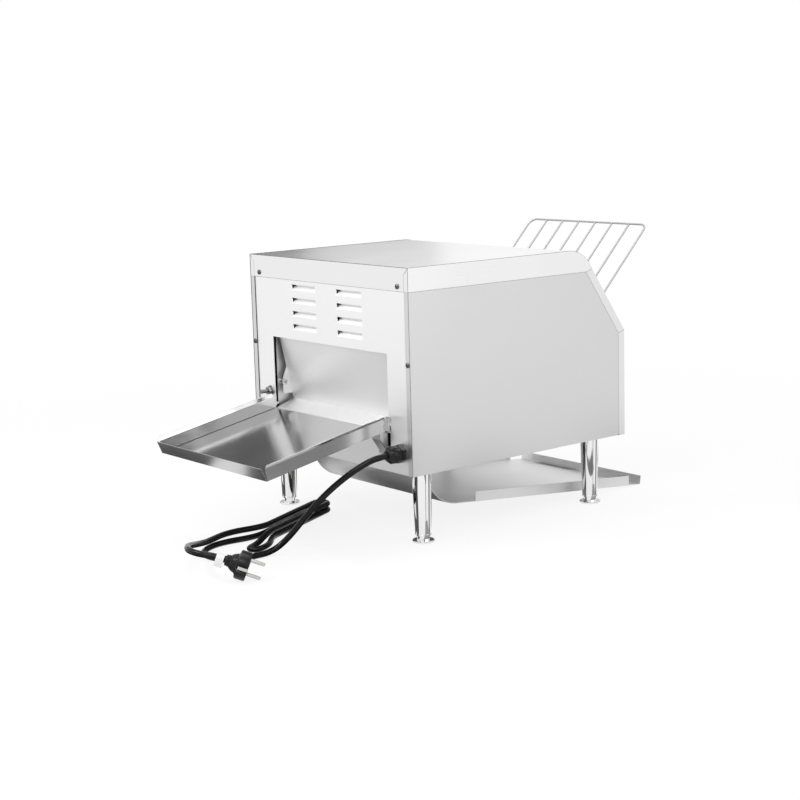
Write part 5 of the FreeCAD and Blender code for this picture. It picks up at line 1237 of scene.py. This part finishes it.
@dataclass
class PressedEdges:
    """Rounded webs that close the louvres' tops, and the rolled lip of the deflector's foot."""

    finishes: Finishes
    louvre_top: float = 341.8
    louvre_pitch: float = 19.1
    louvre_width: float = 57.0
    louvre_centre: float = 53.2
    louvre_depth: float = 5.2
    louvre_drop: float = 1.9
    rows: int = 4
    open_end: float = 3.4
    web: float = 0.6
    face: float = 202.0
    web_rise: float = 0.3
    foot_half_width: float = 127.5
    foot_lip: float = 1.5
    foot_place: tuple[float, float] = (202.6, 157.0)

    def section(self, top: float) -> Points:
        """Web's section as (y, z): a quarter ellipse inward and down, and back under itself."""
        turn = np.linspace(0.0, 0.5 * math.pi, 8)
        outer = np.c_[self.face - self.louvre_depth * np.sin(turn),
                      top + self.web_rise - self.louvre_drop * (1.0 - np.cos(turn))]
        return np.concatenate([outer, outer[::-1] - np.array([0.0, self.web])])

    def prism(self, section: Points, start: float, end: float) -> Shell:
        """Section drawn along X between two places."""
        loops = [[spot(x, y, z) for y, z in section] for x in (start, end)]
        return np.concatenate(loops), shell_faces(2, len(section))

    def build(self) -> None:
        """Webs leave a short open end; the lip is a round bead with domed ends."""
        webs = []
        half = self.louvre_width / 2.0
        for row in range(self.rows):
            section = self.section(self.louvre_top - row * self.louvre_pitch)
            for centre in (-self.louvre_centre, self.louvre_centre):
                webs.append(self.prism(section, centre - half, centre + half - self.open_end))
        mesh_piece("louvre_webs", webs, "toaster", self.finishes.back)
        turn = np.linspace(0.05, 0.5 * math.pi, 6)
        cap = self.foot_lip * np.c_[1.0 - np.cos(turn), np.sin(turn)]
        length = 2.0 * self.foot_half_width
        rows = np.concatenate([cap, np.c_[length - cap[::-1, 0], cap[::-1, 1]]])
        lip = lathe(rows, spot(-self.foot_half_width, *self.foot_place), ALONG, BACK, 16)
        mesh_piece("deflector_foot_lip", [lip], "toaster", self.finishes.deflector)


@dataclass
class FootRings:
    """Turned rings at the legs' ankles."""

    finishes: Finishes
    height: float = 11.6
    half_width: float = 0.55
    leg_radius: float = 11.02
    bulge: float = 0.35
    inner_radius: float = 10.4
    places: tuple = (("rear_left", -159.0, 167.0), ("rear_right", 159.0, 167.0),
                     ("front_left", -159.0, -155.0), ("front_right", 159.0, -155.0))

    def build(self) -> None:
        """Ring: a small half-round bead turned round each leg just over its foot."""
        angle = np.linspace(0.0, math.pi, 9)
        ring = np.c_[-self.half_width * np.cos(angle), self.leg_radius + self.bulge * np.sin(angle)]
        rows = np.concatenate([[(-self.half_width, self.inner_radius)], ring,
                               [(self.half_width, self.inner_radius)]])
        for name, x, y in self.places:
            mesh_piece("ankle_ring_" + name, [lathe(rows, spot(x, y, self.height), UP, ALONG, 56)],
                       "toaster", self.finishes.chrome)


def dress_nodes(nodes: dict, finishes: Finishes) -> None:
    """Gives every CAD node its finish.

    Args:
        nodes: CAD objects by name.
        finishes: the toaster's finishes.
    """
    groups = {
        finishes.lid: "top_cover",
        finishes.band: "slant_fascia control_panel",
        finishes.side: "left_side_panel right_side_panel",
        finishes.back: "back_panel",
        finishes.inner: "base_plate left_inner_plate right_inner_plate drop_chute "
                        "motor_bracket front_tray_hangers",
        finishes.deflector: "rear_deflector",
        finishes.bracket: "tray_brackets",
        finishes.stud: "bonding_stud",
        finishes.hot: "upper_reflector lower_reflector",
        finishes.tray: "rear_tray",
        finishes.low_tray: "front_tray",
        finishes.wire: "loading_rack conveyor_belt",
        finishes.zinc: "drive_shaft drive_sprockets idler_shaft idler_sprockets "
                       "shaft_bushes chain_wheel drive_chain motor_sprocket deflector_screws",
        finishes.screw: "casing_screws",
        finishes.quartz: "upper_elements lower_elements",
        finishes.ceramic: "upper_element_holders lower_element_holders",
        finishes.board: "control_board",
        finishes.motor: "gear_motor speed_potentiometer",
        finishes.matte: "fan_frame fan_rotor heat_switch heat_knob speed_knob",
        finishes.white: "terminal_block cord_tie",
        finishes.lens: "power_lamp",
        finishes.gloss: "cord_gland plug_body",
        finishes.sheath: "cord_lead cord_hank cord_tail",
        finishes.pin: "plug_pins",
    }
    bare = dict(nodes)
    for material, names in groups.items():
        for name in names.split():
            dress(bare.pop(name), material)
    for name, piece in sorted(bare.items()):
        dress(piece, finishes.chrome)
        LOG.info("chrome: %s", name)


def main() -> None:
    """Builds the studio, dresses the CAD nodes and adds the fine pieces."""
    logging.basicConfig(level=logging.INFO)
    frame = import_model()
    Studio().build()
    finishes = Finishes()
    dress_nodes(frame["nodes"], finishes)
    plug = MainsPlug(finishes)
    gland = Gland(finishes).build()
    riders = [plug.body(), plug.pins(), plug.earth(), plug.tie(), gland]
    SupplyCord(finishes).build(plug, riders)
    HeatingTubes(finishes).build()
    FrontDetails(finishes).build()
    edges = SheetEdges(finishes)
    edges.rear()
    edges.front()
    CasingSeams(finishes).build()
    PressedEdges(finishes).build()
    FootRings(finishes).build()
    LOG.info("pieces built")


if __name__ == "__main__":
    main()
